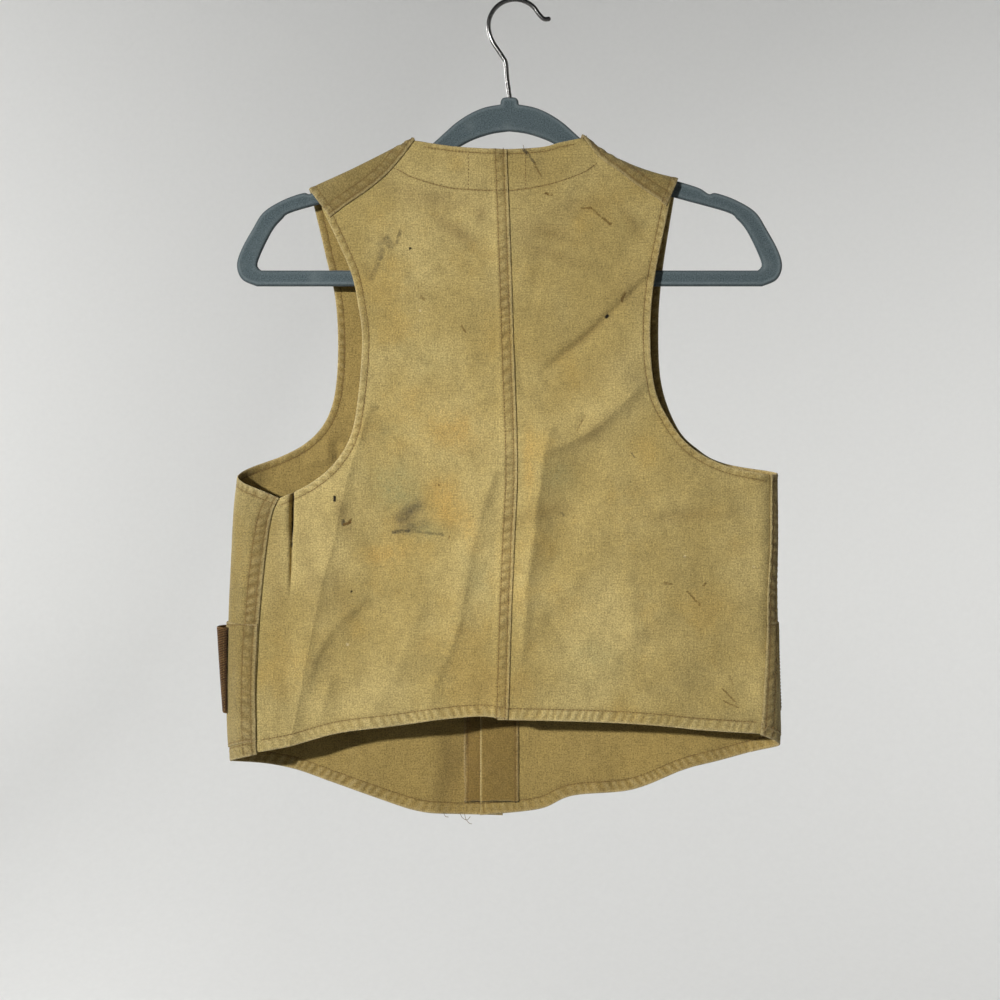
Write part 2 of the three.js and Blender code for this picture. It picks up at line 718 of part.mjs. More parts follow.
// Buttons, on the outside of the overlap
const buttonProfile = [
  [0, 0],
  [BUTTON.radius - 1, 0],
  [BUTTON.radius, 0.8],
  [BUTTON.radius, BUTTON.thickness - 0.5],
  [BUTTON.radius - 0.8, BUTTON.thickness],
  [BUTTON.radius - 2.2, BUTTON.thickness],
  [BUTTON.radius - 3, BUTTON.thickness - 0.8],
  [0, BUTTON.thickness - 0.8],
].map(([r, h]) => new THREE.Vector2(r, h));
for (let k = 0; k < BUTTON.count; k += 1) {
  const z = BUTTON.top - k * BUTTON.pitch;
  const button = addPiece(`button_${k + 1}`, new THREE.LatheGeometry(buttonProfile, 14), HORN);
  const y = frontY('left', BUTTON.x, z) + OVERLAP_LIFT + CLOTH / 2 + BUTTON.gap;
  button.position.set(BUTTON.x, y, z);
}

// Hanger: one flat outline with a long opening, its edges eased
const half = (rows, sign) => rows.map((row) => new THREE.Vector2(HANGER_X + sign * row.out, row.z));
const hangerShape = new THREE.Shape();
hangerShape.moveTo(HANGER_X + HANGER_COLLAR.out, HANGER_COLLAR.topZ);
hangerShape.lineTo(HANGER_X + HANGER_COLLAR.out, HANGER_COLLAR.footZ);
hangerShape.splineThru(half(HANGER_TOP, 1));
hangerShape.lineTo(HANGER_X + HANGER_BASE.out, HANGER_BASE.z);
hangerShape.lineTo(HANGER_X - HANGER_BASE.out, HANGER_BASE.z);
hangerShape.lineTo(HANGER_X - HANGER_TOP.at(-1).out, HANGER_TOP.at(-1).z);
hangerShape.splineThru(half(HANGER_TOP, -1).reverse().slice(1));
hangerShape.lineTo(HANGER_X - HANGER_COLLAR.out, HANGER_COLLAR.footZ);
hangerShape.lineTo(HANGER_X - HANGER_COLLAR.out, HANGER_COLLAR.topZ);
hangerShape.closePath();
const hangerHole = new THREE.Path();
hangerHole.moveTo(HANGER_X, HANGER_INSIDE_TOP_Z);
hangerHole.splineThru(half(HANGER_INSIDE, -1));
hangerHole.lineTo(HANGER_X + HANGER_INSIDE.at(-1).out, HANGER_INSIDE.at(-1).z);
hangerHole.splineThru(half(HANGER_INSIDE, 1).reverse().slice(1));
hangerHole.lineTo(HANGER_X, HANGER_INSIDE_TOP_Z);
hangerShape.holes.push(hangerHole);
const hangerGeometry = new THREE.ExtrudeGeometry(hangerShape, {
  depth: HANGER_THICKNESS - 2 * HANGER_BEVEL,
  curveSegments: 2,
  bevelThickness: HANGER_BEVEL,
  bevelSize: HANGER_BEVEL,
  bevelOffset: -HANGER_BEVEL,
  bevelSegments: 1,
});
const hanger = addPiece('hanger_body', hangerGeometry, FLOCK);
hanger.rotation.x = Math.PI / 2;
hanger.position.y = HANGER_THICKNESS / 2 - HANGER_BEVEL;

// Hook: round wire from the collar up round the hanging point to a turned-out end
const wirePoints = HOOK_STEM.map((row) => new THREE.Vector3(row.x, 0, row.z));
for (const degrees of steps(192, 28, 10)) {
  const angle = THREE.MathUtils.degToRad(degrees);
  const x = HOOK_RADIUS * Math.cos(angle);
  wirePoints.push(new THREE.Vector3(x, 0, HOOK_CENTRE_Z + HOOK_RADIUS * Math.sin(angle)));
}
wirePoints.push(...HOOK_TIP.map((row) => new THREE.Vector3(row.x, 0, row.z)));
const wireSection = new THREE.Shape().absarc(0, 0, WIRE_RADIUS, 0, 2 * Math.PI);
const hookGeometry = new THREE.ExtrudeGeometry(wireSection, {
  steps: 56,
  curveSegments: 5,
  bevelEnabled: false,
  extrudePath: new THREE.CatmullRomCurve3(wirePoints),
});
addPiece('hanger_hook', hookGeometry, STEEL);

export default vest;
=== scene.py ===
# %% [markdown]
# # A canvas hunting vest on its hanger
# The object is a faded cotton hunting vest, seen from its back, hung on a flat flocked hanger.
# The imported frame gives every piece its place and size. This lesson cuts each cloth panel as a flat
# pattern, bends it into the place that the frame holds for it, and then sews, stains and lights it.
# All the cloth's sizes are in millimetres until a mesh is made from them.

import math

import bpy
import numpy as np
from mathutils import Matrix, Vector
from mathutils.geometry import delaunay_2d_cdt
from mathutils.kdtree import KDTree


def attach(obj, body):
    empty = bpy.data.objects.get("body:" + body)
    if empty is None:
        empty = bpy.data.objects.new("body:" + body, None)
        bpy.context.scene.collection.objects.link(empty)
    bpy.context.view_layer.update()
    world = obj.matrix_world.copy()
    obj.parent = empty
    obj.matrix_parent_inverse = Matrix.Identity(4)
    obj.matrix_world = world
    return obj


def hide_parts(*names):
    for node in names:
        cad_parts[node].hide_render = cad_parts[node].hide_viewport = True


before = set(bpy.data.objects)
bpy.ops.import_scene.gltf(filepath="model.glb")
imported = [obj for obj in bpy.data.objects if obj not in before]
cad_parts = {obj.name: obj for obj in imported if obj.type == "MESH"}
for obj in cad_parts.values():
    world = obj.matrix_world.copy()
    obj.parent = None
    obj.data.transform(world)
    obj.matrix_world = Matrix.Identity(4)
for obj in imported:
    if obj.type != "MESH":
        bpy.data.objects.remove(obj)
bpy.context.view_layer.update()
MM = 0.001

# %% [markdown]
# ## Reading the tables
# The vest's outlines and depths are short tables of measured points. A straight reading would leave
# a kink at every row, so each table is read with a smooth curve through its rows. Everything works
# on whole arrays of points at once, because a panel has tens of thousands of them.

# %% Smooth readings
SIDES = ("left", "right")
SIGN = {"left": -1, "right": 1}


def ease(value, low, high):
    """0 below low, 1 above high and a smooth rise between."""
    share = np.clip((value - low) / (high - low), 0, 1)
    return share * share * (3 - 2 * share)


def read_table(rows, at):
    """The second column of rows where the first one is at, smooth between rows and straight past them."""
    key, value = np.array(sorted(rows), float).T
    place = np.arange(len(key))
    after, before = np.minimum(place + 1, len(key) - 1), np.maximum(place - 1, 0)
    slope = (value[after] - value[before]) / (key[after] - key[before])
    at = np.asarray(at, float)
    held = np.clip(at, key[0], key[-1])
    i = np.clip(np.searchsorted(key, held) - 1, 0, len(key) - 2)
    span = key[i + 1] - key[i]
    t = (held - key[i]) / span
    keep = (1 + 2 * t) * (1 - t) ** 2
    inside = keep * value[i] + (1 - keep) * value[i + 1]
    inside = inside + span * (t * (1 - t) ** 2 * slope[i] - t * t * (1 - t) * slope[i + 1])
    return inside + np.where(at < key[0], slope[0], slope[-1]) * (at - held)


def by_height(points):
    return [(z, x) for x, z in points]


# %% Lines
STEPS_IN_SPAN = 24
PAIRS_AT_ONCE = 2_000_000


def smooth_line(points, step):
    """Points every step or so along a smooth curve through the given ones."""
    p = np.array(points, float)
    ends = np.vstack([p[:1], p, p[-1:]])
    t = np.linspace(0, 1, STEPS_IN_SPAN, endpoint=False)[:, None]
    spans = []
    for p0, p1, p2, p3 in zip(ends, ends[1:], ends[2:], ends[3:]):
        v0, v1 = (p2 - p0) / 2, (p3 - p1) / 2
        spans.append((2 * p1 - 2 * p2 + v0 + v1) * t**3 + (3 * p2 - 3 * p1 - 2 * v0 - v1) * t**2 + v0 * t + p1)
    dense = np.vstack([*spans, p[-1:]])
    along = np.concatenate([[0], np.cumsum(np.linalg.norm(np.diff(dense, axis=0), axis=1))])
    at = np.linspace(0, along[-1], max(2, math.ceil(along[-1] / step) + 1))
    return np.column_stack([np.interp(at, along, column) for column in dense.T])


def from_line(line, x, z):
    """How far along a line each point's nearest place is, its distance from the line, and its side of it."""
    a, d = line[:-1], np.diff(line, axis=0)
    length = np.hypot(*d.T)
    starts = np.concatenate([[0], np.cumsum(length)[:-1]])
    found = []
    for part in np.array_split(np.arange(len(x)), len(x) * len(d) // PAIRS_AT_ONCE + 1):
        px, pz = x[part, None] - a[:, 0], z[part, None] - a[:, 1]
        t = np.clip((px * d[:, 0] + pz * d[:, 1]) / length**2, 0, 1)
        gap = np.hypot(px - t * d[:, 0], pz - t * d[:, 1])
        k = gap.argmin(1)
        rows = np.arange(len(part))
        side = np.sign(px * d[:, 1] - pz * d[:, 0])[rows, k]
        found.append(np.column_stack([(starts + t * length)[rows, k], gap[rows, k], side]))
    return np.vstack(found).T


# %% [markdown]
# ## The shape the vest hangs in
# A vest on a hanger is two curved walls that meet at rounded sides and over the shoulders. The table
# gives how far each wall stands from the hanger's plane at each height, and the extra bow in its
# middle. A cloth simulation could drape it, but these walls have to follow one vest's own drape.

# %% Depth and outline tables
DEPTH_COLUMNS = ("z", "back", "back_bow", "front", "front_bow")
DEPTH = [
    (-105, 5.5, 0.5, 5.5, 0.5),
    (-160, 7.5, 2, 8, 2),
    (-236, 10, 4, 11, 5),
    (-330, 14, 6, 16, 8),
    (-400, 17, 7, 20, 9),
    (-500, 18, 5, 22, 7),
    (-600, 18, 3, 21, 5),
    (-680, 18, 3, 20, 4),
]
SIDE_LINE = {
    "left": [(-225.5, -380), (-229.6, -413), (-232.3, -465), (-234, -510), (-234, -590), (-231, -640)],
    "right": [(213.5, -380), (214, -444), (213.5, -487), (214.8, -525), (215.7, -573), (217.5, -640)],
}
SHOULDER_TOP = {
    "left": [(-168.9, -154.2), (-158.3, -149.2), (-132.8, -137.5), (-107.7, -124.9), (-82.8, -111.8)],
    "right": [(133.7, -145.4), (115.2, -140.9), (95.1, -133.9), (75, -124.1), (54.9, -108.9)],
}
SIDE_ROUND = {"left": 30, "right": 20}
SHOULDER_ROUND = 9
HANGER_X = -4.5


def depth_at(column, z):
    k = DEPTH_COLUMNS.index(column)
    return read_table([(row[0], row[k]) for row in DEPTH], np.clip(z, DEPTH[-1][0], DEPTH[0][0]))


def side_line(side, z):
    rows = by_height(SIDE_LINE[side])
    return read_table(rows, np.clip(z, rows[-1][0], rows[0][0]))


def shoulder_share(side, x, z):
    """Share of the full depth: none on the shoulder's top line and all of it a little way below."""
    below = np.clip((read_table(SHOULDER_TOP[side], x) - z) / SHOULDER_ROUND, 0, 1)
    return np.sqrt(1 - (1 - below) ** 2)


def bow_share(x, z):
    low = side_line("left", z) + SIDE_ROUND["left"]
    high = side_line("right", z) - SIDE_ROUND["right"]
    return 1 - np.clip((2 * x - low - high) / (high - low), -1, 1) ** 2


print("the vest is", round(float(side_line("right", -500) - side_line("left", -500))), "mm wide at the pockets")


# %% [markdown]
# ## Folds
# The back pulls from its armholes towards the side seams and sags between them. Each fold is a line
# down the cloth with a height, a width on either side of it, and a sharpness: 2 is a soft roll and
# near 1 is a crease. A few long faint waves keep the cloth between the folds from being dead flat.
# Folds could be brushed on in Sculpt Mode, but a table can be measured, changed and run again.

# %% Fold table
# Each fold: its line from the top down, then rise, width to the left, width to the right, sharpness
FOLDS = [
    ([(-179, -394), (-181, -457), (-183, -561), (-188, -760)], -3.4, 20, 64, 1.5),
    ([(-178.7, -378), (-180, -425), (-181.5, -492)], -4, 1.5, 1.2, 1.6),
    ([(-106, -322), (-129, -372), (-139, -410), (-145, -437), (-157, -484), (-176, -578), (-214, -760)],
     5.0, 90, 10, 1.0),
    ([(-99, -384), (-113, -476), (-149, -558)], -2.6, 15, 28, 1.8),
    ([(-112, -480), (-133, -499), (-147, -513), (-159, -533), (-172, -570)], 2.6, 9, 4, 1.0),
    ([(-146, -548), (-150, -560), (-157, -588)], 2.2, 7, 4, 1.0),
    ([(122, -215), (105, -231), (86.5, -248), (74, -259.7), (55.5, -277.5), (38.8, -290.8), (20.2, -306.3), (6, -319)],
     -4.4, 4, 13, 1.0),
    ([(112, -308), (87, -330), (70.8, -345.3), (52.3, -357.8), (38.5, -363.8), (23.2, -369.9), (-4, -381)],
     6.4, 24, 9, 1.0),
    ([(60, -335), (56, -341), (49.4, -352.6), (45, -359)], -1.3, 2.4, 4, 1.0),
    ([(38, -334), (25, -362), (19, -400), (15, -432), (9.5, -475), (4, -560)], 5.2, 10, 10, 1.0),
    ([(12, -424), (28, -423.5), (46, -423), (60, -426)], -1.5, 4, 5, 1.1),
    ([(70, -362), (42, -420), (30, -485)], -2.4, 14, 26, 2),
    ([(-6, -366), (-18, -393), (-29, -425), (-37, -460), (-44, -500), (-50, -540)], 3.0, 14, 6, 1.0),
    ([(-40.5, -494), (-51, -526), (-61.4, -549), (-70, -576)], 3.0, 14, 6, 1.0),
    ([(-70, -480), (-84, -520), (-100, -566)], 2.4, 12, 6, 1.0),
    ([(172, -414), (140, -419), (104, -426)], -2.6, 4, 6, 1.0),
    ([(24, -496), (36, -518), (48, -542)], -2.0, 6, 8, 1.2),
    ([(92, -462), (95, -510), (92, -566)], 1.7, 16, 7, 1.1),
    ([(160, -440), (168, -500), (172, -560)], -1.8, 16, 14, 1.8),
    ([(-62, -165), (-46, -195), (-14, -222), (-10, -270)], -1.6, 12, 14, 1.7),
    ([(50, -150), (36, -190), (12, -215)], -1.3, 12, 12, 1.8),
    ([(106, -180), (86, -214), (66, -236)], -1.2, 10, 10, 1.6),
    ([(19, -218), (15, -240), (9, -266)], -1.5, 4, 6, 1.1),
    ([(2, -288), (3.5, -303), (6, -318), (10, -334)], -1.3, 2.6, 4.5, 1.0),
    ([(-112, -250), (-80, -280), (-60, -330)], -1.0, 12, 12, 1.7),
    ([(-206, -512), (-217, -509), (-229, -509.5)], -1.5, 2.6, 3.2, 1.5),
    ([(-206, -515), (-214.6, -520), (-228, -522.5)], -1.3, 2.6, 3.0, 1.5),
    ([(-214, -541), (-222, -542), (-233, -549)], -1.4, 3, 3.4, 1.5),
    ([(-212, -561), (-220, -564), (-231, -570)], -1.0, 3, 3, 1.5),
    ([(-178.5, -376), (-179.5, -406), (-180.4, -444)], -7, 2.0, 1.6, 2),
    ([(-114, -329), (-120, -343), (-123, -353), (-128, -368)], 2.2, 5, 3, 1.1),
    ([(-106, -333), (-115, -338), (-123, -337)], -1.7, 3, 4, 1.1),
]
FRONT_FOLDS = [
    ([(-146, -330), (-122, -390), (-100, -470), (-92, -560)], 3.0, 16, 9, 1.2),
    ([(118, -320), (100, -385), (82, -470), (78, -560)], 3.0, 9, 16, 1.2),
    ([(-70, -170), (-62, -240), (-66, -330)], -2.0, 14, 18, 1.7),
    ([(52, -180), (46, -260), (50, -340)], -2.0, 18, 14, 1.7),
    ([(-40, -292), (-70, -300), (-110, -296)], -1.3, 5, 7, 1.1),
    ([(-36, -368), (-66, -380), (-100, -376)], -1.3, 5, 7, 1.1),
    ([(20, -370), (56, -384), (92, -378)], -1.2, 6, 6, 1.1),
    ([(30, -446), (64, -452), (104, -444)], -1.3, 6, 6, 1.1),
    ([(-196, -420), (-160, -440), (-120, -446)], 2.0, 8, 10, 1.2),
    ([(180, -420), (146, -438), (110, -440)], 2.0, 10, 8, 1.2),
    ([(-37, -596), (-41, -632), (-46, -672)], 4.2, 15, 5, 1.2),
    ([(-145, -354), (-149, -366), (-146, -380)], 1.7, 3, 3, 1.2),
    ([(-155, -356), (-157, -368), (-153, -380)], -1.5, 3, 3.4, 1.2),
    ([(-176, -373), (-163, -376), (-148, -370)], -1.7, 3.4, 5, 1.2),
]
print(len(FOLDS), "folds in the back and", len(FRONT_FOLDS), "in the fronts")

# %% Waves and the back's shape
WAVE = {"seed": 11, "count": 16, "shortest": 38, "longest": 150, "height": 0.5}
FRONT_WAVE = {**WAVE, "seed": 23, "height": 0.9}
# A fold's line is read at this step, and the fold grows and fades over these shares of its length
FOLD_STEP, FOLD_GROWN, FOLD_FADES = 8, 0.2, 0.7
SLACK_SIDE = 1.6


def long_waves(seed, count, shortest, longest, height):
    """A seeded sum of plane waves, as a function of place."""
    rng = np.random.default_rng(seed)
    length = rng.uniform(shortest, longest, count)
    turn, phase = rng.uniform(0, 2 * math.pi, (2, count))
    step = 2 * math.pi / length
    size = height * length / longest * math.sqrt(2 / count)

    def rise(x, z):
        swing = np.multiply.outer(x, step * np.cos(turn)) + np.multiply.outer(z, step * np.sin(turn))
        return np.sin(swing + phase) @ size

    return rise


back_wave = long_waves(**WAVE)
front_wave = long_waves(**FRONT_WAVE)


def fold_rise(folds, wave, x, z):
    """How far the folds and waves lift each point; a fold's wider left side is never sharper than a roll."""
    rise = wave(x, z)
    for line, height, left, right, sharp in folds:
        path = smooth_line(line, FOLD_STEP)
        along, gap, side = from_line(path, x, z)
        share = along / np.hypot(*np.diff(path, axis=0).T).sum()
        ends = ease(share, 0, FOLD_GROWN) * (1 - ease(share, FOLD_FADES, 1))
        power = np.where((side > 0) & (left > right), max(sharp, SLACK_SIDE), sharp)
        rise = rise + height * ends * np.exp(-((gap / np.where(side > 0, left, right)) ** power))
    return rise


def back_y(x, z):
    left = x < HANGER_X
    line = np.where(left, side_line("left", z), side_line("right", z))
    inward = np.where(left, x - line, line - x)
    turn = np.clip(1 - inward / np.where(left, SIDE_ROUND["left"], SIDE_ROUND["right"]), 0, 1)
    share = np.where(left, shoulder_share("left", x, z), shoulder_share("right", x, z))
    wall = depth_at("back", z) * np.sqrt(1 - turn**2) + depth_at("back_bow", z) * bow_share(x, z)
    return -(wall + fold_rise(FOLDS, back_wave, x, z)) * share


def back_place(x, z):
    return np.column_stack([x, back_y(x, z), z])


print("back stands", round(float(-back_y(np.array([0.0]), np.array([-400.0]))[0]), 1), "mm off the hanger")

# %% [markdown]
# ## A front laid flat
# Each front is one piece of cloth that runs from the middle round the side to a seam on the back,
# and over the shoulder to another. Laid flat, its x runs on past the side and its z past the
# shoulder's top, so one function brings any flat point to its place on the body.

# %% From flat front to place
CREST_X = {"left": (-178, -70), "right": (44, 142)}


def crest_z(side, x):
    return read_table(SHOULDER_TOP[side], np.clip(x, *CREST_X[side]))


def front_y(side, x, z):
    wall = depth_at("front", z) + depth_at("front_bow", z) * bow_share(x, z)
    return (wall + fold_rise(FRONT_FOLDS, front_wave, x, z)) * shoulder_share(side, x, z)


def round_lengths(side, z):
    """Cloth that the side round takes up, in front of the outermost line and behind it."""
    return [math.pi / 2 * np.sqrt((SIDE_ROUND[side] ** 2 + depth_at(c, z) ** 2) / 2) for c in ("front", "back")]


def flat_x(side, x, z):
    """The flat x of a place on the back."""
    inward = (side_line(side, z) - x) * SIGN[side]
    ahead, behind = round_lengths(side, z)
    start = side_line(side, z) - SIGN[side] * SIDE_ROUND[side]
    turn = np.arccos(np.clip(1 - inward / SIDE_ROUND[side], 0, 1)) / (math.pi / 2)
    return start + SIGN[side] * (ahead + behind * turn + np.maximum(inward - SIDE_ROUND[side], 0))


def over_shoulder(side, x, z):
    """A point's mirror image across the top of its shoulder."""
    slope = (crest_z(side, x + 1) - crest_z(side, x - 1)) / 2
    twice = 2 * (z - crest_z(side, x)) / (1 + slope**2)
    return x + slope * twice, z - twice


def front_place(side, flat, z):
    sign, bend = SIGN[side], SIDE_ROUND[side]
    line = side_line(side, z)
    ahead, behind = round_lengths(side, z)
    past = (flat - (line - sign * bend)) * sign
    angle = np.clip(1 - past / ahead, 0, 1) * math.pi / 2
    x = np.where(past > 0, line - sign * bend * (1 - np.cos(angle)), flat)
    y = np.where(past > 0, depth_at("front", z) * np.sin(angle), front_y(side, flat, z))
    at = np.column_stack([x, y, z])
    over = (past <= 0) & (z > crest_z(side, flat))
    if over.any():
        at[over] = back_place(*over_shoulder(side, flat[over], z[over]))
    back = past >= ahead
    if back.any():
        rest = (past - ahead)[back]
        angle = np.clip(rest / behind[back], 0, 1) * math.pi / 2
        inward = bend * (1 - np.cos(angle)) + np.maximum(rest - behind[back], 0)
        at[back] = back_place(line[back] - sign * inward, z[back])
    return at


print("the left side's round takes", round(float(sum(round_lengths("left", -500)))), "mm of cloth")


# %% [markdown]
# ## Cutting a flat pattern
# A panel's outline runs through its seams, hems and openings. Inside it the cloth needs points about
# every two millimetres, and extra rows of points beside the edges and the stitching, where the
# cloth is rounded and grooved. A constrained triangulation joins them all into one flat sheet.

# %% Outlines and distances
def is_inside(outline, x, z):
    inside = np.zeros(len(x), bool)
    for (x0, z0), (x1, z1) in zip(outline, np.roll(outline, -1, 0)):
        if z0 != z1:
            inside ^= ((z0 > z) != (z1 > z)) & (x < x0 + (z - z0) * (x1 - x0) / (z1 - z0))
    return inside


def signed_area(outline):
    x, z = outline.T
    return (x * np.roll(z, -1) - z * np.roll(x, -1)).sum() / 2


def inset(line, by, turn):
    """A line moved sideways into the cloth."""
    ahead = np.gradient(line, axis=0)
    ahead /= np.linalg.norm(ahead, axis=1)[:, None]
    return line + by * turn * np.column_stack([-ahead[:, 1], ahead[:, 0]])


def nearest_gaps(points, others):
    """Each point's distance from the nearest of the others."""
    tree = KDTree(len(others))
    for k, (x, z) in enumerate(others):
        tree.insert((x, z, 0), k)
    tree.balance()
    return np.array([tree.find((x, z, 0))[2] for x, z in points])


def clear_of(points, others, least):
    return points[nearest_gaps(points, others) >= least]


# %% Pattern cutter
EDGE_STEP = 1.5
EDGE_ROWS = (0.3, 0.9, 1.7)
# Points nearer than this to another are dropped: in a row of points, by an edge, and as a share of the grid
SAME_POINT, EDGE_CLEAR, GRID_CLEAR = 0.3, 0.22, 0.62
ROW_HEIGHT = 0.866
INSIDE_ONLY, MEETS_WITHIN = 2, 1e-5


def cut_pattern(runs, beside, rows=(), holes=(), grid=2.4):
    """Flat cloth inside runs of points end to end, with rows of points beside the runs that are named."""
    lines = {name: smooth_line(run, EDGE_STEP) for name, run in runs.items()}
    outline = np.vstack([line[:-1] for line in lines.values()])
    turn = math.copysign(1, signed_area(outline))
    follow = [inset(lines[name], by, turn) for name, offsets in beside.items() for by in offsets]
    follow += [inset(hole, -by, math.copysign(1, signed_area(hole))) for hole in holes for by in EDGE_ROWS]
    follow = np.vstack([*follow, *rows, outline[:1]])
    follow = follow[np.unique(np.round(follow / SAME_POINT), axis=0, return_index=True)[1]]
    low, high = outline.min(0), outline.max(0)
    x, z = np.meshgrid(np.arange(low[0], high[0], grid), np.arange(low[1], high[1], grid * ROW_HEIGHT))
    x[::2] += grid / 2
    edges = np.vstack([outline, *holes])
    between = clear_of(np.column_stack([x.ravel(), z.ravel()]), np.vstack([edges, follow]), grid * GRID_CLEAR)
    loose = np.vstack([clear_of(follow, edges, EDGE_CLEAR), between])
    keep = is_inside(outline, *loose.T)
    for hole in holes:
        keep &= ~is_inside(hole, *loose.T)
    loose = loose[keep]
    joins, start = [], 0
    for ring in (outline, *holes):
        joins += [(start + k, start + (k + 1) % len(ring)) for k in range(len(ring))]
        start += len(ring)
    made = delaunay_2d_cdt([Vector(p) for p in np.vstack([edges, loose])], joins, [], INSIDE_ONLY, MEETS_WITHIN)
    points = np.array([tuple(p) for p in made[0]])
    faces = np.array([f for f in made[2] if len(f) == 3])
    for hole in holes:
        faces = faces[~is_inside(hole, *points[faces].mean(1).T)]
    spans = points[faces[:, 1:]] - points[faces[:, :1]]
    flip = spans[:, 0, 0] * spans[:, 1, 1] < spans[:, 0, 1] * spans[:, 1, 0]
    faces[flip] = faces[flip][:, ::-1]
    closed = [np.vstack([ring, ring[:1]]) for ring in (outline, *holes)]
    gap = nearest_gaps(points, edges)
    near = gap < 2 * EDGE_STEP
    gap[near] = np.min([from_line(ring, *points[near].T)[1] for ring in closed], axis=0)
    area = abs(signed_area(outline)) - sum(abs(signed_area(hole)) for hole in holes)
    return {"points": points, "faces": faces, "gap": gap, "lines": lines, "size": high - low, "area": area}


# %% [markdown]
# ## Bending and thickening
# Flat cloth becomes a wall: every point goes to its place, and the two faces stand off along the
# normal there by half the cloth's thickness and whatever hems and seams add. The faces meet on
# the outline itself, which rounds the edge. Solidify would give every edge the same square rim.

# %% Cloth wall
HALF_CLOTH = 0.45
PROBE = 0.4
ON_RIM = 1e-4
RUBBED, RUBBED_FADES = 0.5, 0.5


def bent(cloth, x, z):
    """Places of flat points on a cloth's middle, and the way out of the vest there."""
    place = cloth["place"]
    across = place(x + PROBE, z) - place(x - PROBE, z)
    up = place(x, z + PROBE) - place(x, z - PROBE)
    out = cloth["facing"] * np.cross(across, up)
    out /= np.linalg.norm(out, axis=1)[:, None]
    return place(x, z) + out * cloth["lift"](x, z)[:, None], out


def plain_finish(x, z):
    """Cloth with nothing sewn on it: the height of each face over its middle, its wear and painted highlight, and its
    dirt and painted shade.
    """
    same = np.full(len(x), HALF_CLOTH)
    return {"top": same, "under": same, "wear": 0 * same, "dirt": 0 * same}


def stored_masks(cloth, finish, x, z, both, inner):
    """Wear, dirt, stains and the painted highlight and shade among them at each corner of a wall, where the inner face
    takes only the wear and dirt masks.
    """
    tints = {"wear": finish["wear"], "dirt": finish["dirt"]}
    for key, value in cloth.get("stains", lambda x, z: {})(x, z).items():
        tints[key] = np.maximum(tints.get(key, 0), value)
    tints = {key: np.where(inner, value[both] * (key in ("wear", "dirt")), value[both]) for key, value in tints.items()}
    tints["inside"] = np.where(inner, 1.0, 0.0) * (1 - RUBBED_FADES * (finish["wear"][both] > RUBBED))
    return tints


def sewn(name, cloth, cut, material, edge_round=1.5):
    """A closed mesh of a cut pattern in its place, with its flat map and its stored wear, dirt, stains and painted
    shade.
    """
    x, z = cut["points"].T
    at, out = bent(cloth, x, z)
    finish = cloth.get("finish", plain_finish)(x, z)
    rounded = np.sqrt(1 - (1 - np.clip(cut["gap"] / edge_round, 0, 1)) ** 2)
    rim = cut["gap"] < ON_RIM
    top = at + out * (finish["top"] * rounded)[:, None]
    under = at - out * (finish["under"] * rounded)[:, None]
    below = np.where(rim, np.arange(len(x)), len(x) + np.cumsum(~rim) - 1)
    faces = cut["faces"][:, ::int(cloth["facing"])]
    mesh = bpy.data.meshes.new(name)
    walls = [*faces.tolist(), *below[faces[:, ::-1]].tolist()]
    mesh.from_pydata((np.vstack([top, under[~rim]]) * MM).tolist(), [], walls)
    both = np.concatenate([np.arange(len(x)), np.flatnonzero(~rim)])
    inner = np.arange(len(both)) >= len(x)
    corner = np.empty(len(mesh.loops), np.int32)
    mesh.loops.foreach_get("vertex_index", corner)
    mesh.uv_layers.new(name="flat").data.foreach_set("uv", (cut["points"][both][corner] * MM).ravel())
    for key, value in stored_masks(cloth, finish, x, z, both, inner).items():
        mesh.attributes.new(key, "FLOAT", "POINT").data.foreach_set("value", value.astype(np.float32))
    mesh.shade_smooth()
    mesh.materials.append(material)
    piece = bpy.data.objects.new(name, mesh)
    bpy.context.scene.collection.objects.link(piece)
    print(name, len(mesh.polygons), "triangles, flat", (cut["size"] * MM).round(3), "m")
    return piece


# %% Hanging pieces in place of the frame's parts
def stands_for(piece, node):
    """Attaches a piece to the root and hides the frame's node that it stands for."""
    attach(piece, "root")
    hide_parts(node)


def hang(piece, cut, node):
    """The same for a cloth piece, whose cut size and area are worked out but not passed on."""
    stands_for(piece, node)
    tuple(cut["size"] * MM)
    cut["area"] * MM**2
